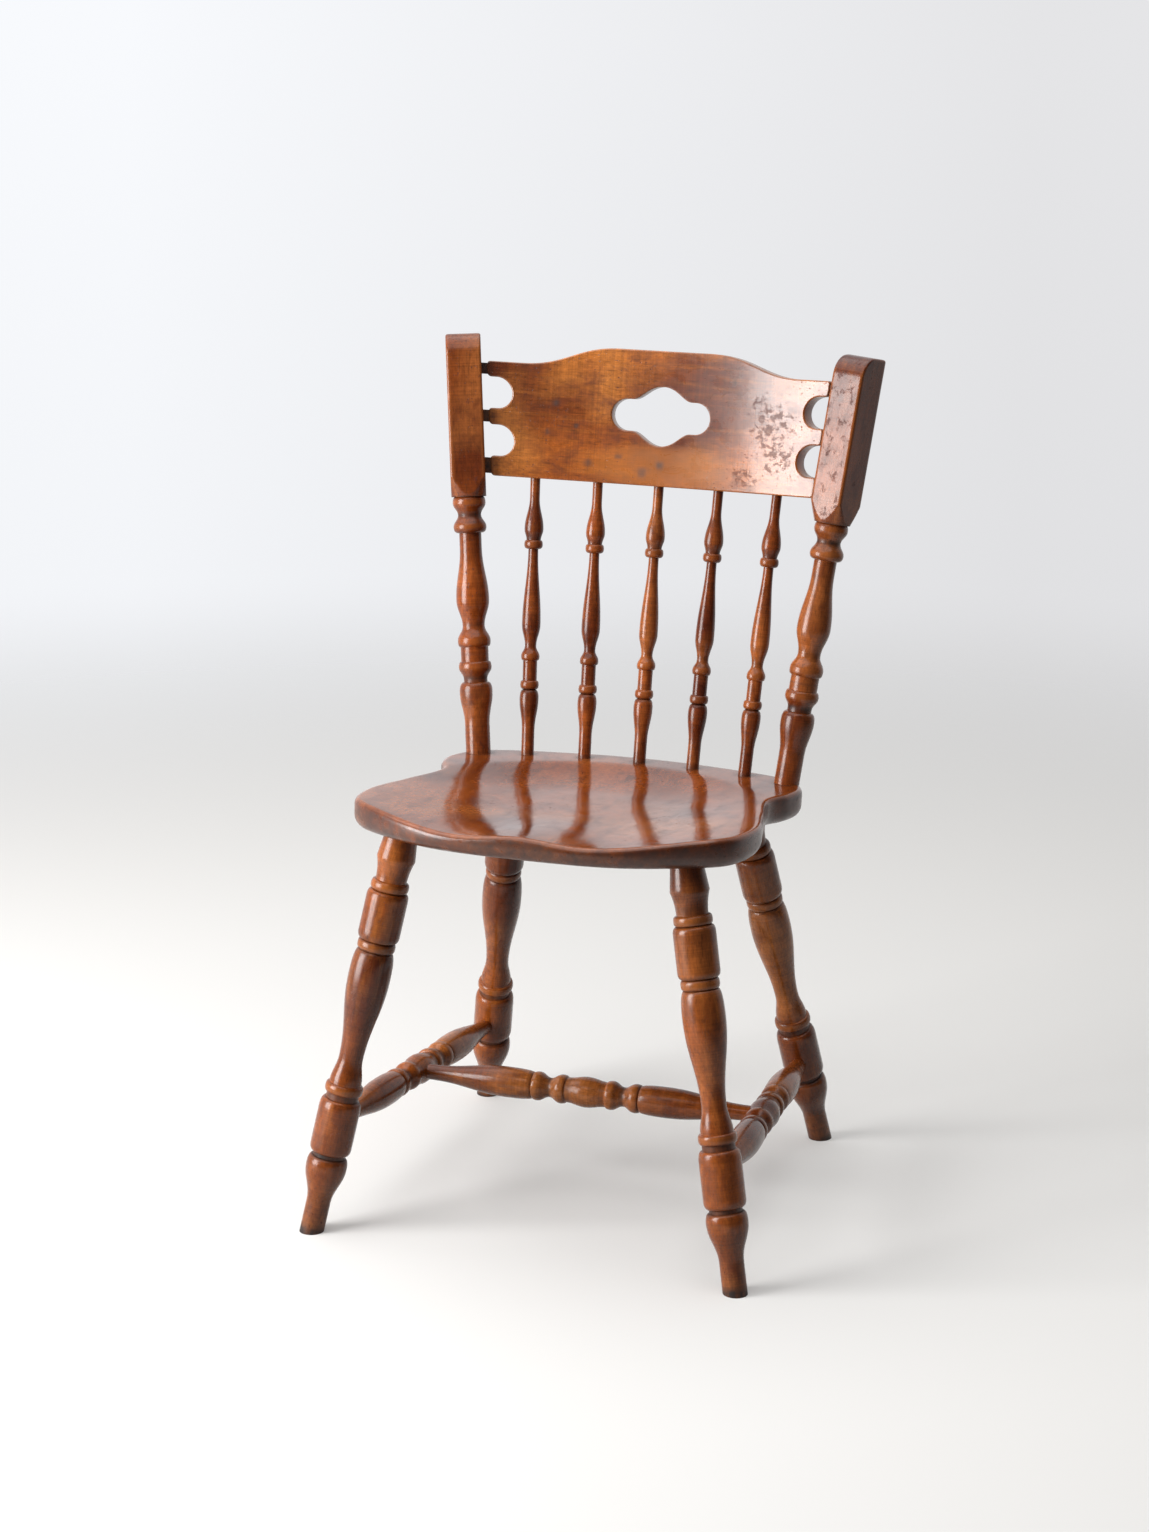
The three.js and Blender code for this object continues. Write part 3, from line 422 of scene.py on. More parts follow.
def add_piece(name, vertices, faces, wear, place, node, slot, offset, finish=None, grain=None):
    """Makes a piece from millimetres in its own frame, with its fibres along Z of the grain coordinates."""
    mesh = bpy.data.meshes.new(name)
    mesh.from_pydata([place @ Vector(v) * MM for v in vertices], [], faces)
    mesh.update()
    values = mesh.attributes.new("grain", "FLOAT_VECTOR", "POINT")
    shift = Vector((0.37, 0.61, 1.13)) * offset
    coordinates = [c for v in (grain or vertices) for c in Vector(v) * MM + shift]
    values.data.foreach_set("vector", coordinates)
    for key, amounts in wear.items():
        layer = mesh.attributes.new(key, "FLOAT", "POINT")
        layer.data.foreach_set("value", amounts)
    mesh.materials.append(finish_for(finish or slot))
    mesh.shade_smooth()
    mesh.set_sharp_from_angle(angle=SHARP_FROM)
    piece = bpy.data.objects.new(name, mesh)
    bpy.context.scene.collection.objects.link(piece)
    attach(piece, "root")
    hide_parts(node)


def lathe(points):
    """Vertices and faces of a turning, closed at both ends."""
    vertices = [(0, 0, points[0][1])]
    for radius, along in points:
        for side in range(LATHE_SIDES):
            angle = 2 * math.pi * side / LATHE_SIDES
            vertices.append((radius * math.cos(angle), radius * math.sin(angle), along))
    vertices.append((0, 0, points[-1][1]))
    return vertices, ring_faces(len(points), LATHE_SIDES)


def ring_faces(rings, count):
    """Faces of rings of vertices, with a middle vertex before the first ring and after the last."""
    faces = []
    last = 1 + (rings - 1) * count
    for i in range(count):
        after = (i + 1) % count
        faces.append((0, 1 + after, 1 + i))
        for ring in range(rings - 1):
            here = 1 + ring * count
            faces.append((here + i, here + after, here + count + after, here + count + i))
        faces.append((last + i, last + after, last + count))
    return faces


def per_ring(amounts):
    """The same amount for every vertex of a lathe's ring, with the two middle vertices."""
    return [amounts[0]] + [a for a in amounts for _ in range(LATHE_SIDES)] + [amounts[-1]]


def add_turned(turning, place, node, slot, offset, rim=None, floor_cut=False):
    """Makes a turned piece. rim(along) is extra darkening towards its ends; floor_cut trims its first ring to the
    floor.
    """
    vertices, faces = lathe(turning.points)
    if floor_cut:
        upright = place.to_3x3().row[2]
        for i in range(1, 2 * LATHE_SIDES + 1):
            x, y, along = vertices[i]
            floor = -(upright.x * x + upright.y * y) / upright.z
            vertices[i] = (x, y, floor if along == 0 else max(along, floor + FOOT_LEAST_RISE))
    grooves, crests = groove_and_crest(turning.points)
    if rim:
        grooves = [max(g, rim(along)) for g, (_, along) in zip(grooves, turning.points)]
    # Darker in narrow grooves, and lighter where narrow crests are worn
    wear = {"dirt_and_shade": per_ring(grooves), "worn": per_ring(crests)}
    add_piece(f"turned_{node}", vertices, faces, wear, place, node, slot, offset)


# Materials

class Nodes:
    """Adds nodes to the emptied tree of a material or a world."""

    def __init__(self, owner):
        owner.use_nodes = True
        self.tree = owner.node_tree
        self.tree.nodes.clear()

    def add(self, kind, inputs=None, **settings):
        made = self.tree.nodes.new(kind)
        for key, value in settings.items():
            setattr(made, key, value)
        for key, value in (inputs or {}).items():
            if isinstance(value, bpy.types.NodeSocket):
                self.tree.links.new(value, made.inputs[key])
            else:
                made.inputs[key].default_value = value
        return made

    def mixed(self, factor, first, second, blend="MIX"):
        first, second = (c if isinstance(c, bpy.types.NodeSocket) else (*c, 1) for c in (first, second))
        inputs = {0: factor, 6: first, 7: second}
        return self.add("ShaderNodeMix", inputs, data_type="RGBA", blend_type=blend).outputs[2]

    def computed(self, operation, first, second):
        return self.add("ShaderNodeMath", {0: first, 1: second}, operation=operation).outputs[0]

    def times(self, first, second):
        return self.computed("MULTIPLY", first, second)

    def plus(self, first, second):
        return self.computed("ADD", first, second)

    def minus(self, first, second):
        return self.computed("SUBTRACT", first, second)

    def larger(self, first, second):
        return self.computed("MAXIMUM", first, second)

    def ranged(self, value, low, high, to_low=0.0, to_high=1.0):
        inputs = {"Value": value, "From Min": low, "From Max": high, "To Min": to_low, "To Max": to_high}
        return self.add("ShaderNodeMapRange", inputs).outputs["Result"]


def varnished_maple(name, tone, turned, roughness, coat, sheen):
    """Stained maple under old varnish: fibres, clouds, lathe marks, dark spots, darker grooves, dirt at dings and
    joints, and painted shade.
    """
    finish = bpy.context.scene.chair_finish
    material = bpy.data.materials.new(name)
    nodes = Nodes(material)
    mixed, ranged, times = nodes.mixed, nodes.ranged, nodes.times
    grain = nodes.add("ShaderNodeAttribute", attribute_name="grain").outputs["Vector"]
    dirt_and_shade, worn, scarred = (
        nodes.add("ShaderNodeAttribute", attribute_name=key).outputs["Fac"] for key in ("dirt_and_shade", "worn", "scarred"))

    def noise(scales, detail=2.0, rough=0.5, distortion=0.0):
        stretched = nodes.add("ShaderNodeVectorMath", {0: grain, 1: scales}, operation="MULTIPLY")
        inputs = {
            "Vector": stretched.outputs[0], "Scale": 1.0, "Detail": detail,
            "Roughness": rough, "Distortion": distortion}
        return nodes.add("ShaderNodeTexNoise", inputs).outputs["Fac"]

    def shaded(colour, amount):
        grey = nodes.add("ShaderNodeCombineColor", {"Red": amount, "Green": amount, "Blue": amount})
        return mixed(1.0, colour, grey.outputs[0], "MULTIPLY")

    clouds = noise((9, 9, 7), 3, 0.55)
    smudges = noise((48, 48, 30), 4, 0.62, 0.5)
    streaks = noise((130, 130, 7), 3, 0.6, 0.5)
    fibres = noise((1300, 1300, 50), 2, 0.6)
    flecks = noise((700, 700, 60), 1)
    marks = noise((5, 5, 620), 2) if turned else noise((140, 140, 300), 1)
    cluster = noise((17, 17, 12), 2, 0.6)
    blots = noise((150, 150, 115), 3, 0.6, 0.4)
    pits = noise((430, 430, 300), 1)
    ripple = noise((26, 26, 16), 2, 0.5)

    dark = (tone[0] * 0.34, tone[1] * 0.27, tone[2] * 0.4)
    light = (tone[0] * 1.45, tone[1] * 2.0, tone[2] * 3.0)
    colour = mixed(ranged(clouds, 0.34, 0.6), dark, tone)
    colour = mixed(ranged(noise((7, 7, 8), 2), 0.48, 0.68, 0.0, 0.8), colour, light)
    colour = mixed(ranged(streaks, 0.5, 0.75, 0.0, 0.35), colour, light)
    colour = mixed(ranged(smudges, 0.48, 0.7, 0.0, 0.75), colour, dark)
    mottle = 0.21 if turned else 0.09
    colour = shaded(colour, ranged(noise((210, 210, 120), 3, 0.7), 0.32, 0.68, 1 - mottle, 1 + mottle))
    colour = shaded(colour, ranged(fibres, 0.3, 0.7, 0.8, 1.14))
    colour = shaded(colour, ranged(flecks, 0.62, 0.76, 1.0, 0.6))
    colour = shaded(colour, ranged(marks, 0.35, 0.65, 0.84, 1.1))
    colour = mixed(times(worn, 0.5), colour, light)

    low = 0.73 - 0.1 * finish.spots
    blotted = times(ranged(blots, low, low + 0.03), ranged(cluster, 0.5, 0.58, 0.0, 0.8))
    pitted = times(ranged(pits, 0.69, 0.73), ranged(cluster, 0.45, 0.56))
    eased = nodes.minus(0.71, times(scarred, 0.24))
    crazed = nodes.minus(noise((125, 125, 95), 5, 0.74, 0.3), eased)
    crazed = times(ranged(crazed, 0.0, 0.08), ranged(scarred, 0.05, 0.3, 0.0, 0.85))
    spotted = nodes.larger(nodes.larger(blotted, pitted), crazed)
    colour = mixed(times(spotted, 0.8), colour, finish.spot_tone)
    # Darkening from the meshes: real dirt at dings and joints, painted shade under the seat's edge and in the rail's
    # shoulder gaps, and darker grooves and feet; it also roughens the varnish
    rubbed = ranged(noise((90, 90, 40), 3, 0.65), 0.3, 0.7, 0.6, 1.3)
    dirt_and_shade_share = times(times(dirt_and_shade, rubbed), finish.dirt_and_shade)
    colour = mixed(dirt_and_shade_share, colour, finish.dirt_and_shade_tone)

    gloss = ranged(smudges, 0.35, 0.7, roughness, roughness + 0.12)
    gloss = nodes.plus(gloss, times(spotted, 0.12))
    gloss = nodes.plus(gloss, times(dirt_and_shade_share, 0.3))

    relief = times(fibres, 0.00002)
    relief = nodes.plus(relief, times(marks, 0.00003))
    relief = nodes.plus(relief, times(ripple, 0.00035))
    relief = nodes.minus(relief, times(pitted, 0.0001))
    bump = nodes.add("ShaderNodeBump", {"Height": relief, "Strength": 1.0, "Distance": 1.0}).outputs[0]
    shader = nodes.add("ShaderNodeBsdfPrincipled", {
        "Base Color": colour, "Roughness": gloss, "Normal": bump, "IOR": 1.5,
        "Specular IOR Level": ranged(spotted, 0.0, 1.0, sheen, sheen * 0.3),
        "Coat Weight": ranged(spotted, 0.0, 1.0, coat, coat * 0.3),
        "Coat Roughness": 0.12, "Coat IOR": 1.5, "Coat Normal": bump})
    nodes.add("ShaderNodeOutputMaterial", {"Surface": shader.outputs[0]})
    return material


def finish_for(part):
    """The part's finish, made once."""
    name = f"{part} varnish"
    found = bpy.data.materials.get(name)
    if found:
        return found
    finish = bpy.context.scene.chair_finish
    # Stain, whether turned, roughness, coat and sheen
    kinds = {
        "seat": (finish.seat_tone, False, 0.08, 0.1, 0.5),
        "rail": (finish.rail_tone, True, 0.24, 0.5, 0.5),
        "back": (finish.back_tone, True, 0.2, 0.12, 0.32),
        "legs": (finish.leg_tone, True, 0.2, 0.1, 0.32)}
    return varnished_maple(name, *kinds[part])


# Operators

class CHAIR_OT_legs(bpy.types.Operator):
    """Turn the four splayed legs, which share one pattern"""

    bl_idname = "chair.legs"
    bl_label = "Legs"

    def execute(self, context):
        places = leg_places()
        shortest = min((stop - start).length for start, stop in places.values())
        rise = shortest - (leg_turning(0, LEG_LEAST_NECK).along - LEG_TENON_DEPTH)
        for index, (node, (start, stop)) in enumerate(places.items()):
            turning = leg_turning(rise, LEG_LEAST_NECK + (stop - start).length - shortest)
            # Darker towards the foot: a dark rim at the floor and a fainter band above it
            add_turned(
                turning, stand(start, stop), node, "legs", index + 1,
                rim=lambda along: 0.95 * (1 - smooth_step(along, 2, 12)) + 0.25 * (1 - smooth_step(along, 10, 60)),
                floor_cut=True)
        return {"FINISHED"}


class CHAIR_OT_stretchers(bpy.types.Operator):
    """Turn the two side stretchers and the one across between them"""

    bl_idname = "chair.stretchers"
    bl_label = "Stretchers"

    def execute(self, context):
        places = leg_places()
        crossing = []
        for index, side in enumerate(("left", "right")):
            front_start, front_stop = places[f"leg_front_{side}"]
            rear_start, rear_stop = places[f"leg_back_{side}"]
            front = front_start + (front_stop - front_start).normalized() * SIDE_STRETCHER_UP_FRONT_LEG
            rear = rear_start + (rear_stop - rear_start).normalized() * SIDE_STRETCHER_UP_REAR_LEG
            self.turn(f"side_stretcher_{side}", front, rear, SIDE_STRETCHER_STOP, 7 + index)
            crossing.append(front.lerp(rear, CROSS_STRETCHER_SHARE))
        self.turn("cross_stretcher", *crossing, CROSS_STRETCHER_STOP, 9)
        return {"FINISHED"}

    def turn(self, node, start, stop, short_by, offset):
        turning = stretcher_turning((stop - start).length / 2 - short_by)
        place = stand(start.lerp(stop, 0.5), stop)
        place.translation = start.lerp(stop, 0.5)
        add_turned(turning, place, node, "legs", offset)


class CHAIR_OT_spindles(bpy.types.Operator):
    """Turn the five spindles between the seat and the crest rail"""

    bl_idname = "chair.spindles"
    bl_label = "Spindles"

    def execute(self, context):
        ends = []
        for place in range(-2, 3):
            base_x = place * SPINDLE_BASE_SPACING
            top_x = place * SPINDLE_TOP_SPACING
            base = SEAT_FRAME @ Vector((base_x, spindle_arc(base_x), 0))
            ends.append((base, BACK_FRAME @ Vector((top_x, rail_arc(top_x), RAIL_RISE))))
        shortest = min((top - base).length for base, top in ends)
        fall = shortest - (spindle_turning(SPINDLE_LEAST_FOOT, 0).along - SPINDLE_TOP_TENON)
        for index, (base, top) in enumerate(ends):
            length = (top - base).length
            turning = spindle_turning(SPINDLE_LEAST_FOOT + length - shortest, fall)
            add_turned(
                turning, stand(base, top), f"spindle_{index + 1}", "back", 12 + index,
                rim=lambda along, end=length: max(
                    0.5 * (1 - smooth_step(along, 0, 5)), 0.5 * smooth_step(along, end - 5, end)))
        return {"FINISHED"}


class CHAIR_OT_posts(bpy.types.Operator):
    """Turn the two posts and shape their square heads"""

    bl_idname = "chair.posts"
    bl_label = "Posts"

    def execute(self, context):
        for side_name, side in (("left", -1), ("right", 1)):
            place = (
                BACK_FRAME @ Matrix.Translation((side * POST_BASE_X, 0, 0))
                @ Matrix.Rotation(side * BACK_SPREAD, 4, "Y"))
            profile = post_turning().points
            vertices, faces = lathe(profile)
            dirt_and_shade, worn = (per_ring(amounts) for amounts in groove_and_crest(profile))
            turn = Matrix.Translation((0, 0, TURNED_LENGTH)) @ Matrix.Rotation(-side * HEAD_TURN_IN, 4, "Z")
            head, head_faces, head_dirt_and_shade, head_worn = self.head()
            first = len(vertices)
            vertices += [tuple(turn @ Vector(v)) for v in head]
            faces += [tuple(first + corner for corner in face) for face in head_faces]
            node = f"post_{side_name}"
            spotting = HEAD_SPOTTING[side]
            scarred = [0] * first + [spotting if y < 1 - HEAD_DEPTH / 2 else spotting / 2 for x, y, z in head]
            wear = {"dirt_and_shade": dirt_and_shade + head_dirt_and_shade, "worn": worn + head_worn, "scarred": scarred}
            add_piece(f"turned_{node}", vertices, faces, wear, place, node, "back", 20 + side)
        return {"FINISHED"}

    def head(self):
        """The square head as rings of a rounded rectangle, cut by the lathe's cone where it begins."""
        half_width = HEAD_WIDTH / 2
        half_depth = HEAD_DEPTH / 2
        corner_reach = math.hypot(half_width, half_depth)
        heights = [HEAD_POMMEL_LENGTH * step / 24 for step in range(25)]
        straight = HEAD_LENGTH - HEAD_FRONT_ROUND
        heights += [HEAD_POMMEL_LENGTH + (straight - HEAD_POMMEL_LENGTH) * step / 24 for step in range(1, 25)]
        heights += [straight + HEAD_FRONT_ROUND * math.sin(math.pi / 2 * step / 14) for step in range(1, 15)]
        rings, dirt_and_shade, worn = [], [], []
        for height in heights:
            front = -half_depth
            if height > straight:
                drop = HEAD_FRONT_ROUND**2 - (height - straight) ** 2
                front += HEAD_FRONT_ROUND - math.sqrt(max(drop, 0))
            ease = HEAD_EDGE * (1 - math.sqrt(max(1 - (max(height - HEAD_LENGTH + HEAD_EDGE, 0) / HEAD_EDGE) ** 2, 0)))
            limit = half_width + (corner_reach - half_width) * height / HEAD_POMMEL_LENGTH
            ring = rounded_rectangle(half_width - ease, front + ease * 0.2, half_depth - ease, HEAD_EDGE)
            for x, y in ring:
                reach = math.hypot(x, y)
                if height < HEAD_POMMEL_LENGTH and reach > limit:
                    x, y = x * limit / reach, y * limit / reach
                rings.append((x, y, height))
                # Darker at the head's foot, where it meets the turning, and a little all over
                dirt_and_shade.append(0.1 + 0.65 * (1 - smooth_step(height, 0, 2.5)))
                worn.append(0.9 * smooth_step(reach, corner_reach - 3.2, corner_reach - 1.2))
        count = len(rings) // len(heights)
        vertices = [(0, 0, 0)] + rings + [(0, HEAD_FRONT_ROUND / 2, HEAD_LENGTH)]
        return vertices, ring_faces(len(heights), count), [0.8] + dirt_and_shade + [0], [0] + worn + [0]


def rounded_rectangle(half_width, front, back, corner):
    """A closed ring of points round a rectangle with rounded corners, dense along the sides."""
    middles = (
        (half_width - corner, back - corner, 0), (-half_width + corner, back - corner, 90),
        (-half_width + corner, front + corner, 180), (half_width - corner, front + corner, 270))
    rounds = [arc(x, y, corner, start, start + 90, 3) for x, y, start in middles]
    points = []
    for here, after in zip(rounds, rounds[1:] + rounds[:1]):
        points += here + bezier([here[-1], after[0]], 18)[:-1]
    return points


class CHAIR_OT_seat(bpy.types.Operator):
    """Shape the scooped seat plank"""

    bl_idname = "chair.seat"
    bl_label = "Seat"

    def execute(self, context):
        outline = seat_outline(300)
        count = len(outline)
        inward = []
        for i in range(count):
            before, after = outline[i - 1], outline[(i + 1) % count]
            inward.append(Vector((before[1] - after[1], after[0] - before[0])).normalized())

        def inset(i, distance):
            return Vector(outline[i]) + inward[i] * distance

        middle = Vector((0, -SEAT_FRONT_AT / 2))
        rings, dirt_and_shade, worn = [], [], []

        def add_ring(points, painted_shade, rubbed):
            rings.extend(points)
            dirt_and_shade.extend([painted_shade] * count)
            worn.extend([rubbed] * count)

        under = -SEAT_THICKNESS
        # Painted shade: the underside a little darker, and the round edge much darker up to the top round's shoulder
        for share in (0.25, 0.5, 0.75, 0.92):
            points = [(inset(i, SEAT_UNDER_ROUND) - middle) * share + middle for i in range(count)]
            add_ring([(p.x, p.y, under) for p in points], 0.25, 0)
        for step in range(7):
            angle = math.pi / 2 * step / 6
            points = [inset(i, SEAT_UNDER_ROUND * (1 - math.sin(angle))) for i in range(count)]
            height = under + SEAT_UNDER_ROUND * (1 - math.cos(angle))
            add_ring([(p.x, p.y, height) for p in points], 0.85, 0)
        for step in range(9):
            angle = math.pi / 2 * step / 8
            ring = []
            for i in range(count):
                p = inset(i, SEAT_TOP_ROUND * (1 - math.cos(angle)))
                shoulder = inset(i, SEAT_TOP_ROUND)
                top = -scoop_depth(shoulder.x, shoulder.y)
                ring.append((p.x, p.y, top - SEAT_TOP_ROUND * (1 - math.sin(angle))))
            add_ring(ring, 0.85 * (1 - smooth_step(step, 0, 7)), 0.3 * smooth_step(step, 2, 6))
        for step in range(1, 70):
            share = 1 - step / 70
            points = [(inset(i, SEAT_TOP_ROUND) - middle) * share + middle for i in range(count)]
            add_ring([(p.x, p.y, -scoop_depth(p.x, p.y)) for p in points], 0, 0)
        ring_count = len(rings) // count
        centre = (middle.x, middle.y, -scoop_depth(*middle))
        vertices = [(middle.x, middle.y, under)] + rings + [centre]
        joints = [(side * POST_BASE_X, 0, POST_RIM_RADIUS) for side in (-1, 1)]
        for place in range(-2, 3):
            x = place * SPINDLE_BASE_SPACING
            joints.append((x, spindle_arc(x), SPINDLE_RIM_RADIUS))
        for i, (x, y, z) in enumerate(rings):
            if z > under / 2:
                near = min(math.hypot(x - jx, y - jy) - radius for jx, jy, radius in joints)
                dirt_and_shade[i] = max(dirt_and_shade[i], 0.6 * (1 - smooth_step(near, 0, 7)))
        # The underside's middle gets painted shade too; the joints of the spindles and posts get real dirt
        wear = {"dirt_and_shade": [0.2] + dirt_and_shade + [0], "worn": [0] + worn + [0]}
        add_piece(
            "scooped_seat", vertices, ring_faces(ring_count, count), wear, SEAT_FRAME, "seat", "seat", 30,
            grain=[(z, x, y) for x, y, z in vertices])
        return {"FINISHED"}


def between(first, second, low, high, at):
    return first * ((high - at) / (high - low)) + second * ((at - low) / (high - low))


def closed_curve(points, count):
    """Evenly spaced points on the closed centripetal Catmull-Rom curve through some points."""
    dense = []
    total = len(points)
    for i in range(total):
        p = [Vector(points[(i + k - 1) % total]) for k in range(4)]
        knots = [0.0]
        for k in range(3):
            knots.append(knots[-1] + max((p[k + 1] - p[k]).length, 1e-6) ** 0.5)
        for step in range(40):
            t = knots[1] + (knots[2] - knots[1]) * step / 40
            row = [between(p[k], p[k + 1], knots[k], knots[k + 1], t) for k in range(3)]
            row = [between(row[k], row[k + 1], knots[k], knots[k + 2], t) for k in range(2)]
            dense.append(between(*row, knots[1], knots[2], t))
    lengths = [0.0]
    for i in range(len(dense)):
        lengths.append(lengths[-1] + (dense[(i + 1) % len(dense)] - dense[i]).length)
    spaced, index = [], 0
    for step in range(count):
        target = lengths[-1] * step / count
        while lengths[index + 1] < target:
            index += 1
        share = (target - lengths[index]) / (lengths[index + 1] - lengths[index])
        point = dense[index].lerp(dense[(index + 1) % len(dense)], share)
        spaced.append((point.x, point.y))
    return spaced


def seat_outline(count):
    """Outline of the seat: broad front, waist before the ears, and a bowed rear edge."""
    ear = POST_BASE_X + EAR_BEYOND_POST

    def rear_edge(x):
        towards_post = (x / POST_BASE_X) ** 2
        behind = REAR_EDGE_BEHIND_SPINDLES + (REAR_EDGE_BEHIND_POSTS - REAR_EDGE_BEHIND_SPINDLES) * towards_post
        return spindle_arc(x) + behind

    half = [
        (0, -SEAT_FRONT_AT),
        *((SEAT_HALF_WIDTH - inwards, back - SEAT_FRONT_AT) for inwards, back in SEAT_CORNER),
        (SEAT_HALF_WIDTH, -SEAT_WIDEST_AT),
        ((SEAT_HALF_WIDTH + SEAT_WAIST_HALF_WIDTH) / 2, -(SEAT_WIDEST_AT + SEAT_WAIST_AT) / 2),
        (SEAT_WAIST_HALF_WIDTH, -SEAT_WAIST_AT),
        *((ear - inwards, -ahead) for inwards, ahead in EAR_CURVE),
        (POST_BASE_X, rear_edge(POST_BASE_X)),
        (POST_BASE_X / 2, rear_edge(POST_BASE_X / 2)),
        (0, rear_edge(0)),
    ]
    left = [(-x, y) for x, y in reversed(half[1:-1])]
    return closed_curve(half + left, count)


def scoop_depth(x, y):
    """Depth of the hollow under the plank's top plane, from a crease to two thigh hollows beside a low pommel."""
    margin = SCOOP_MARGIN + (SCOOP_MARGIN_AT_POSTS - SCOOP_MARGIN) * (x / POST_BASE_X) ** 2
    past = spindle_arc(x) - margin - y
    past = min((past + math.sqrt(past * past + SCOOP_CREASE**2)) / 2 / SCOOP_BANK, 1)
    bank = past * (2 - past)
    side = 1 - smooth_step(abs(x), SEAT_WAIST_HALF_WIDTH * SCOOP_FLAT_SHARE, SEAT_HALF_WIDTH)
    forward = smooth_step(-y, SCOOP_BANK, SEAT_FRONT_AT)
    hollow = SCOOP_DEPTH * bank * side * (1 - (1 - SCOOP_FRONT_SHARE) * forward)
    ridge = smooth_step(-y, SEAT_FRONT_AT - POMMEL_LENGTH, SEAT_FRONT_AT)
    pommel = POMMEL_HEIGHT * ridge * math.exp(-((x / POMMEL_HALF_WIDTH) ** 2))
    return max(hollow - pommel, 0)


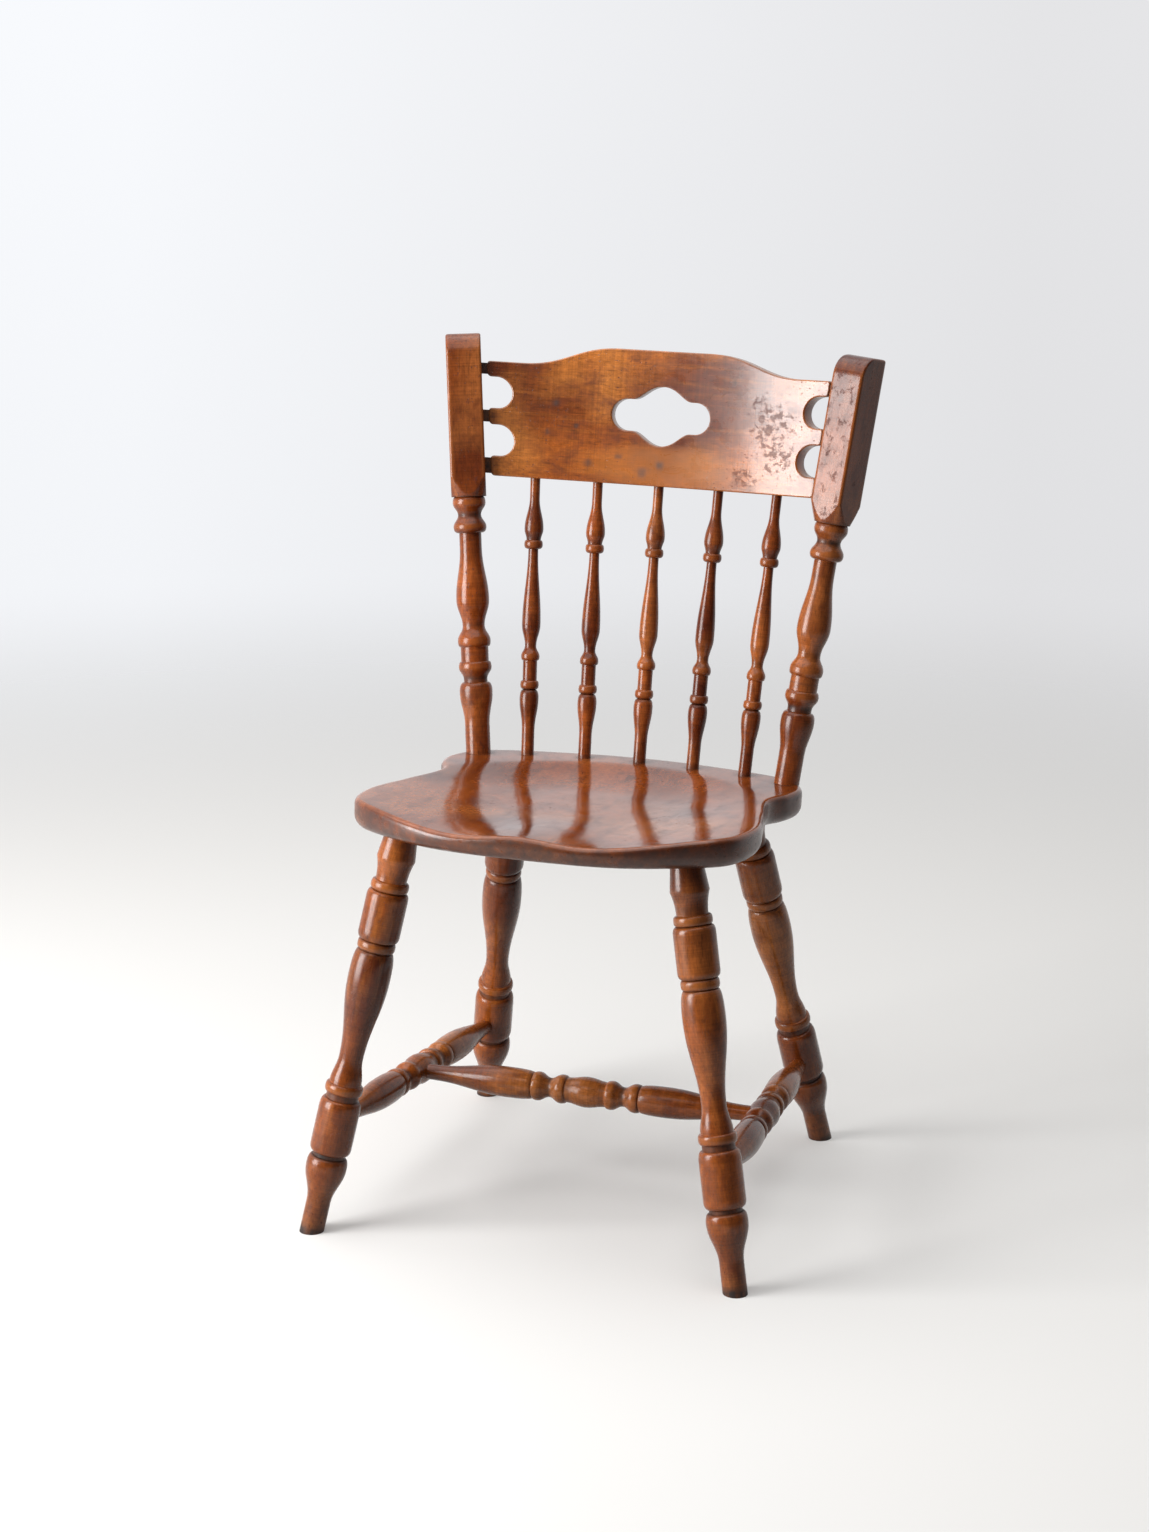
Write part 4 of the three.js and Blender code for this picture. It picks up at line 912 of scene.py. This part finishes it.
class CHAIR_OT_rail(bpy.types.Operator):
    """Cut, pierce, notch and bend the crest rail"""

    bl_idname = "chair.rail"
    bl_label = "Crest Rail"

    def execute(self, context):
        edge = context.scene.chair_form.edge_round / MM
        board = bmesh.new()
        board.from_mesh(self.flat_board(edge))
        for low, high in self.tenon_spans():
            for side in (-1, 1):
                self.add_tenon(board, side, low, high)
        for x in range(-RAIL_SLICE_REACH, RAIL_SLICE_REACH + 1, RAIL_SLICE):
            self.slice(board, (x, 0, 0), (1, 0, 0))
        for height in range(RAIL_SLICE, RAIL_CROWN_HEIGHT, RAIL_SLICE):
            self.slice(board, (0, height, 0), (0, 1, 0))
        board.verts.ensure_lookup_table()
        board.verts.index_update()
        flat = [tuple(v.co) for v in board.verts]
        faces = [tuple(v.index for v in face.verts) for face in board.faces]
        board.free()
        vertices, dirt_and_shade, worn, scarred = [], [], [], []
        for u, height, depth in flat:
            scars = (1 - smooth_step(math.hypot(u - x, height - y), r * 0.35, r) for x, y, r in RAIL_SCARS)
            scarred.append(max(scars) if depth > 0 else 0)
            angle = u / RAIL_RADIUS
            radius = RAIL_RADIUS - depth
            vertices.append((radius * math.sin(angle), RAIL_CENTRE_Y + radius * math.cos(angle), RAIL_RISE + height))
            # Real dirt in the dings; painted shadow on the tenons in each shoulder gap, nearly black, and a faint
            # painted shadow along the rail towards each post's head
            from_end = self.inner_face(height) - abs(u)
            dings = (0.85 * (1 - smooth_step(math.hypot(u - x, height - y), r * 0.2, r)) for x, y, r in RAIL_DINGS)
            dirt_and_shade.append(max(
                max(dings) if depth > 0 else 0,
                0.95 * (1 - smooth_step(from_end, SHOULDER_GAP - 1, SHOULDER_GAP + 4)),
                0.12 * (1 - smooth_step(from_end, SHOULDER_GAP, SHOULDER_GAP + 30))))
            edge_worn = 0.7 * smooth_step(abs(depth), RAIL_THICKNESS / 2 - edge - 0.2, RAIL_THICKNESS / 2 - edge)
            edge_worn *= 1 - smooth_step(abs(depth), RAIL_THICKNESS / 2 - 0.4, RAIL_THICKNESS / 2)
            rubbed = 0.8 * (1 - smooth_step(math.hypot(u / RAIL_RUBBED[0], (height - 20) / RAIL_RUBBED[1]), 0.5, 1))
            worn.append(max(edge_worn, rubbed if depth > 0 else 0))
        wear = {"dirt_and_shade": dirt_and_shade, "worn": worn, "scarred": scarred}
        add_piece(
            "bent_crest_rail", vertices, faces, wear, BACK_FRAME, "crest_rail", "back", 40, finish="rail",
            grain=[(depth, height, u) for u, height, depth in flat])
        return {"FINISHED"}

    def inner_face(self, height):
        """How far along the rail from its middle the inner face of a post's head is, at a height."""
        axis_x = POST_BASE_X + RAIL_RISE * math.tan(BACK_SPREAD)
        along = RAIL_RADIUS * math.asin(axis_x / RAIL_RADIUS) - HEAD_WIDTH / 2
        return along + height * math.tan(BACK_SPREAD) * math.cos(HEAD_TURN_IN)

    def tenon_spans(self):
        edges = [0]
        for height in NOTCH_HEIGHTS:
            edges += [height - NOTCH_RADIUS, height + NOTCH_RADIUS]
        edges.append(RAIL_END_HEIGHT)
        return [(a + TENON_SET_BACK, b - TENON_SET_BACK) for a, b in zip(edges[::2], edges[1::2])]

    def outline(self):
        """The right half of the rail's outline, from its lower middle to its upper middle."""
        def end(from_face, height):
            return (self.inner_face(height) - from_face, height)

        def corner(height, up):
            points = []
            for step in range(6):
                angle = math.pi / 2 * step / 5
                if not up:
                    angle = math.pi / 2 - angle
                rise = PRONG_CORNER * (1 - math.cos(angle))
                across = PRONG_CORNER * (1 - math.sin(angle))
                points.append(end(SHOULDER_GAP + across, height + rise if up else height - rise))
            return points

        points = [(0, 0)] + corner(0, True)
        for height in NOTCH_HEIGHTS:
            points += corner(height - NOTCH_RADIUS, False)
            points += [end(*p) for p in arc(NOTCH_DEPTH - NOTCH_RADIUS, height, NOTCH_RADIUS, -90, 90, 20)]
            points += corner(height + NOTCH_RADIUS, True)
        points += corner(RAIL_END_HEIGHT, False)
        bend = RAIL_SWEEP_LENGTH * 0.45
        sweep = [
            (RAIL_CROWN_HALF_WIDTH + RAIL_SWEEP_LENGTH, RAIL_END_HEIGHT),
            (RAIL_CROWN_HALF_WIDTH + RAIL_SWEEP_LENGTH - bend, RAIL_END_HEIGHT),
            (RAIL_CROWN_HALF_WIDTH + bend, RAIL_CROWN_HEIGHT), (RAIL_CROWN_HALF_WIDTH, RAIL_CROWN_HEIGHT)]
        return points + sweep[:1] + bezier(sweep, 28)

    def piercing(self):
        """A lobe at either end of a middle that swells above and below in S-curves."""
        y = PIERCING_HEIGHT
        lobe_x = PIERCING_HALF_WIDTH - PIERCING_LOBE_RADIUS
        ledge = PIERCING_MIDDLE_HALF_WIDTH
        low = y + PIERCING_LOBE_RADIUS
        high = y + PIERCING_MIDDLE_RISE
        right = arc(lobe_x, y, PIERCING_LOBE_RADIUS, -90, 90, 24)
        right += [(ledge, low)]
        right += bezier([(ledge, low), (ledge * 0.7, low), (ledge * 0.5, high), (0, high)], 20)
        right += bezier([(0, high), (-ledge * 0.5, high), (-ledge * 0.7, low), (-ledge, low)], 20)
        return right + [(-x, 2 * y - h) for x, h in right]

    def flat_board(self, edge):
        """The flat board with its edges rounded, drawn as X along, Y up and Z forwards."""
        curve = bpy.data.curves.new("rail_drawing", "CURVE")
        curve.dimensions = "2D"
        curve.fill_mode = "BOTH"
        curve.extrude = RAIL_THICKNESS / 2 - edge
        curve.bevel_depth = edge
        curve.bevel_resolution = 2
        curve.offset = -edge
        half = self.outline()
        outer = half + [(-x, h) for x, h in reversed(half)]
        for points in (outer, self.piercing()):
            kept = [p for i, p in enumerate(points) if math.dist(p, points[i - 1]) > 0.05]
            spline = curve.splines.new("POLY")
            spline.points.add(len(kept) - 1)
            for target, (x, h) in zip(spline.points, kept):
                target.co = (x, h, 0, 1)
            spline.use_cyclic_u = True
        drawing = bpy.data.objects.new("rail_drawing", curve)
        bpy.context.scene.collection.objects.link(drawing)
        graph = bpy.context.evaluated_depsgraph_get()
        mesh = bpy.data.meshes.new_from_object(drawing.evaluated_get(graph))
        bpy.data.objects.remove(drawing)
        return mesh

    def add_tenon(self, board, side, low, high):
        made = bmesh.ops.create_cube(board, size=1)["verts"]
        for vertex in made:
            height = low if vertex.co.y < 0 else high
            from_face = -TENON_DEPTH if vertex.co.x > 0 else SHOULDER_GAP + 6
            vertex.co = (
                side * (self.inner_face(height) - from_face), height,
                TENON_THICKNESS / 2 * (1 if vertex.co.z > 0 else -1))
        bmesh.ops.recalc_face_normals(board, faces=list({f for v in made for f in v.link_faces}))

    def slice(self, board, point, normal):
        everything = board.verts[:] + board.edges[:] + board.faces[:]
        bmesh.ops.bisect_plane(board, geom=everything, plane_co=point, plane_no=normal)


class CHAIR_OT_stage(bpy.types.Operator):
    """Set up the floor, the backdrop, the soft lights and the camera"""

    bl_idname = "chair.stage"
    bl_label = "Stage"

    def execute(self, context):
        scene = context.scene
        settings = scene.chair_stage
        scene.view_settings.view_transform = "Standard"
        self.add_floor(settings)
        self.add_world(scene, settings)
        self.add_light("window", *WINDOW, settings.window_light)
        self.add_light("ceiling", *CEILING, settings.ceiling_light)
        self.add_camera(scene)
        return {"FINISHED"}

    def add_floor(self, settings):
        """A round pale floor, whose far edge fades into the backdrop."""
        mesh = bpy.data.meshes.new("floor")
        sketch = bmesh.new()
        bmesh.ops.create_circle(sketch, cap_ends=True, segments=96, radius=FLOOR_RADIUS)
        sketch.to_mesh(mesh)
        sketch.free()
        floor = bpy.data.objects.new("floor", mesh)
        bpy.context.scene.collection.objects.link(floor)
        material = bpy.data.materials.new("Pale floor")
        nodes = Nodes(material)
        place = nodes.add("ShaderNodeNewGeometry").outputs["Position"]
        reach = nodes.add("ShaderNodeVectorMath", {0: place}, operation="LENGTH").outputs["Value"]
        fade = nodes.add("ShaderNodeMapRange", {
            "Value": reach, "From Min": FLOOR_FADE[0], "From Max": FLOOR_FADE[1]}, interpolation_type="SMOOTHSTEP")
        seen = self.seen_ray(nodes)
        bounced = [c * settings.floor_bounce for c in settings.floor_tone]
        paint = nodes.add("ShaderNodeBsdfDiffuse", {"Color": nodes.mixed(seen, bounced, settings.floor_tone)})
        lift = nodes.add("ShaderNodeEmission", {
            "Color": (1, 0.99, 0.97, 1), "Strength": nodes.times(seen, settings.floor_lift)})
        paint = nodes.add("ShaderNodeAddShader", {0: paint.outputs[0], 1: lift.outputs[0]})
        clear = nodes.add("ShaderNodeBsdfTransparent")
        blend = nodes.add("ShaderNodeMixShader", {
            0: fade.outputs["Result"], 1: paint.outputs[0], 2: clear.outputs[0]})
        nodes.add("ShaderNodeOutputMaterial", {"Surface": blend.outputs[0]})
        mesh.materials.append(material)

    def seen_ray(self, nodes):
        """1 for a ray that shows the stage itself, in the picture, in gloss or through glass."""
        path = nodes.add("ShaderNodeLightPath").outputs
        seen = nodes.larger(path["Is Camera Ray"], path["Is Glossy Ray"])
        return nodes.larger(seen, path["Is Transmission Ray"])

    def add_world(self, scene, settings):
        """A white backdrop behind the chair with painted light and shade on it, a dark room before it, and a little
        light from all round.
        """
        scene.world = bpy.data.worlds.new("Room")
        nodes = Nodes(scene.world)
        direction = nodes.add("ShaderNodeTexCoord").outputs["Generated"]

        def along(vector):
            inputs = {0: direction, 1: vector}
            return nodes.add("ShaderNodeVectorMath", inputs, operation="DOT_PRODUCT").outputs["Value"]

        to_right = along((math.cos(CAMERA_AZIMUTH), math.sin(CAMERA_AZIMUTH), 0))
        to_back = along((-math.sin(CAMERA_AZIMUTH), math.cos(CAMERA_AZIMUTH), 0))
        upwards = along((0, 0, 1))
        # Painted light on the backdrop: pale to the left, as lit from there, and grey to the right; painted shade
        # makes it a little darker downwards
        painted_wall_light = nodes.mixed(nodes.ranged(to_right, -0.13, 0.13), (0.93, 0.945, 0.975), (0.775, 0.775, 0.79))
        painted_low_shade = nodes.ranged(upwards, -0.23, -0.05, 0.96, 1.01)
        path = nodes.add("ShaderNodeLightPath").outputs
        lit = nodes.ranged(to_back, -0.1, 0.35, settings.room_gloss, 1.0)
        lit = nodes.larger(lit, path["Is Camera Ray"])
        seen = self.seen_ray(nodes)
        strength = nodes.times(nodes.times(painted_low_shade, lit), seen)
        strength = nodes.plus(strength, nodes.times(nodes.minus(1.0, seen), settings.room_light))
        background = nodes.add("ShaderNodeBackground", {"Color": painted_wall_light, "Strength": strength})
        nodes.add("ShaderNodeOutputWorld", {"Surface": background.outputs[0]})

    def add_light(self, name, place, target, width, height, power):
        light = bpy.data.lights.new(name, "AREA")
        light.shape = "RECTANGLE"
        light.size = width
        light.size_y = height
        light.energy = power
        lamp = bpy.data.objects.new(name, light)
        lamp.location = place
        lamp.rotation_euler = (Vector(target) - Vector(place)).to_track_quat("-Z", "Y").to_euler()
        lamp.visible_camera = False
        bpy.context.scene.collection.objects.link(lamp)

    def add_camera(self, scene):
        """The photograph's viewpoint, fitted to the feet, the collars and the back."""
        azimuth, elevation, roll = CAMERA_AZIMUTH, CAMERA_ELEVATION, CAMERA_ROLL
        back = Vector((
            math.sin(azimuth) * math.cos(elevation), -math.cos(azimuth) * math.cos(elevation), math.sin(elevation)))
        right = Vector((math.cos(azimuth), math.sin(azimuth), 0))
        up = back.cross(right)
        rolled_right = right * math.cos(roll) + up * math.sin(roll)
        rolled_up = up * math.cos(roll) - right * math.sin(roll)
        view = Matrix((rolled_right, rolled_up, back)).transposed().to_4x4()
        view.translation = Vector(CAMERA_AIM) * MM + back * CAMERA_DISTANCE
        data = bpy.data.cameras.new("camera")
        data.sensor_width = SENSOR_WIDTH
        data.lens = SENSOR_WIDTH * FOCAL_PER_WIDTH
        camera = bpy.data.objects.new("camera", data)
        camera.matrix_world = view
        scene.collection.objects.link(camera)
        scene.camera = camera


class CHAIR_PT_panel(bpy.types.Panel):
    """Lists the pieces, the finish and the stage"""

    bl_idname = "CHAIR_PT_panel"
    bl_label = "Spindle-Back Chair"
    bl_space_type = "VIEW_3D"
    bl_region_type = "UI"
    bl_category = "Chair"

    def draw(self, context):
        column = self.layout.column()
        for operator in OPERATORS:
            column.operator(operator.bl_idname)
        for settings in (context.scene.chair_form, context.scene.chair_finish, context.scene.chair_stage):
            box = self.layout.box()
            for key in settings.__annotations__:
                box.prop(settings, key)


OPERATORS = (
    CHAIR_OT_legs, CHAIR_OT_stretchers, CHAIR_OT_seat, CHAIR_OT_posts, CHAIR_OT_spindles, CHAIR_OT_rail,
    CHAIR_OT_stage)
CLASSES = (ChairFinish, ChairForm, ChairStage, *OPERATORS, CHAIR_PT_panel)


def register():
    for item in CLASSES:
        bpy.utils.register_class(item)
    bpy.types.Scene.chair_finish = PointerProperty(type=ChairFinish)
    bpy.types.Scene.chair_form = PointerProperty(type=ChairForm)
    bpy.types.Scene.chair_stage = PointerProperty(type=ChairStage)


def unregister():
    del bpy.types.Scene.chair_stage
    del bpy.types.Scene.chair_form
    del bpy.types.Scene.chair_finish
    for item in reversed(CLASSES):
        bpy.utils.unregister_class(item)


def main():
    register()
    bpy.ops.chair.legs()
    bpy.ops.chair.stretchers()
    bpy.ops.chair.seat()
    bpy.ops.chair.posts()
    bpy.ops.chair.spindles()
    bpy.ops.chair.rail()
    bpy.ops.chair.stage()


if __name__ == "__main__":
    main()
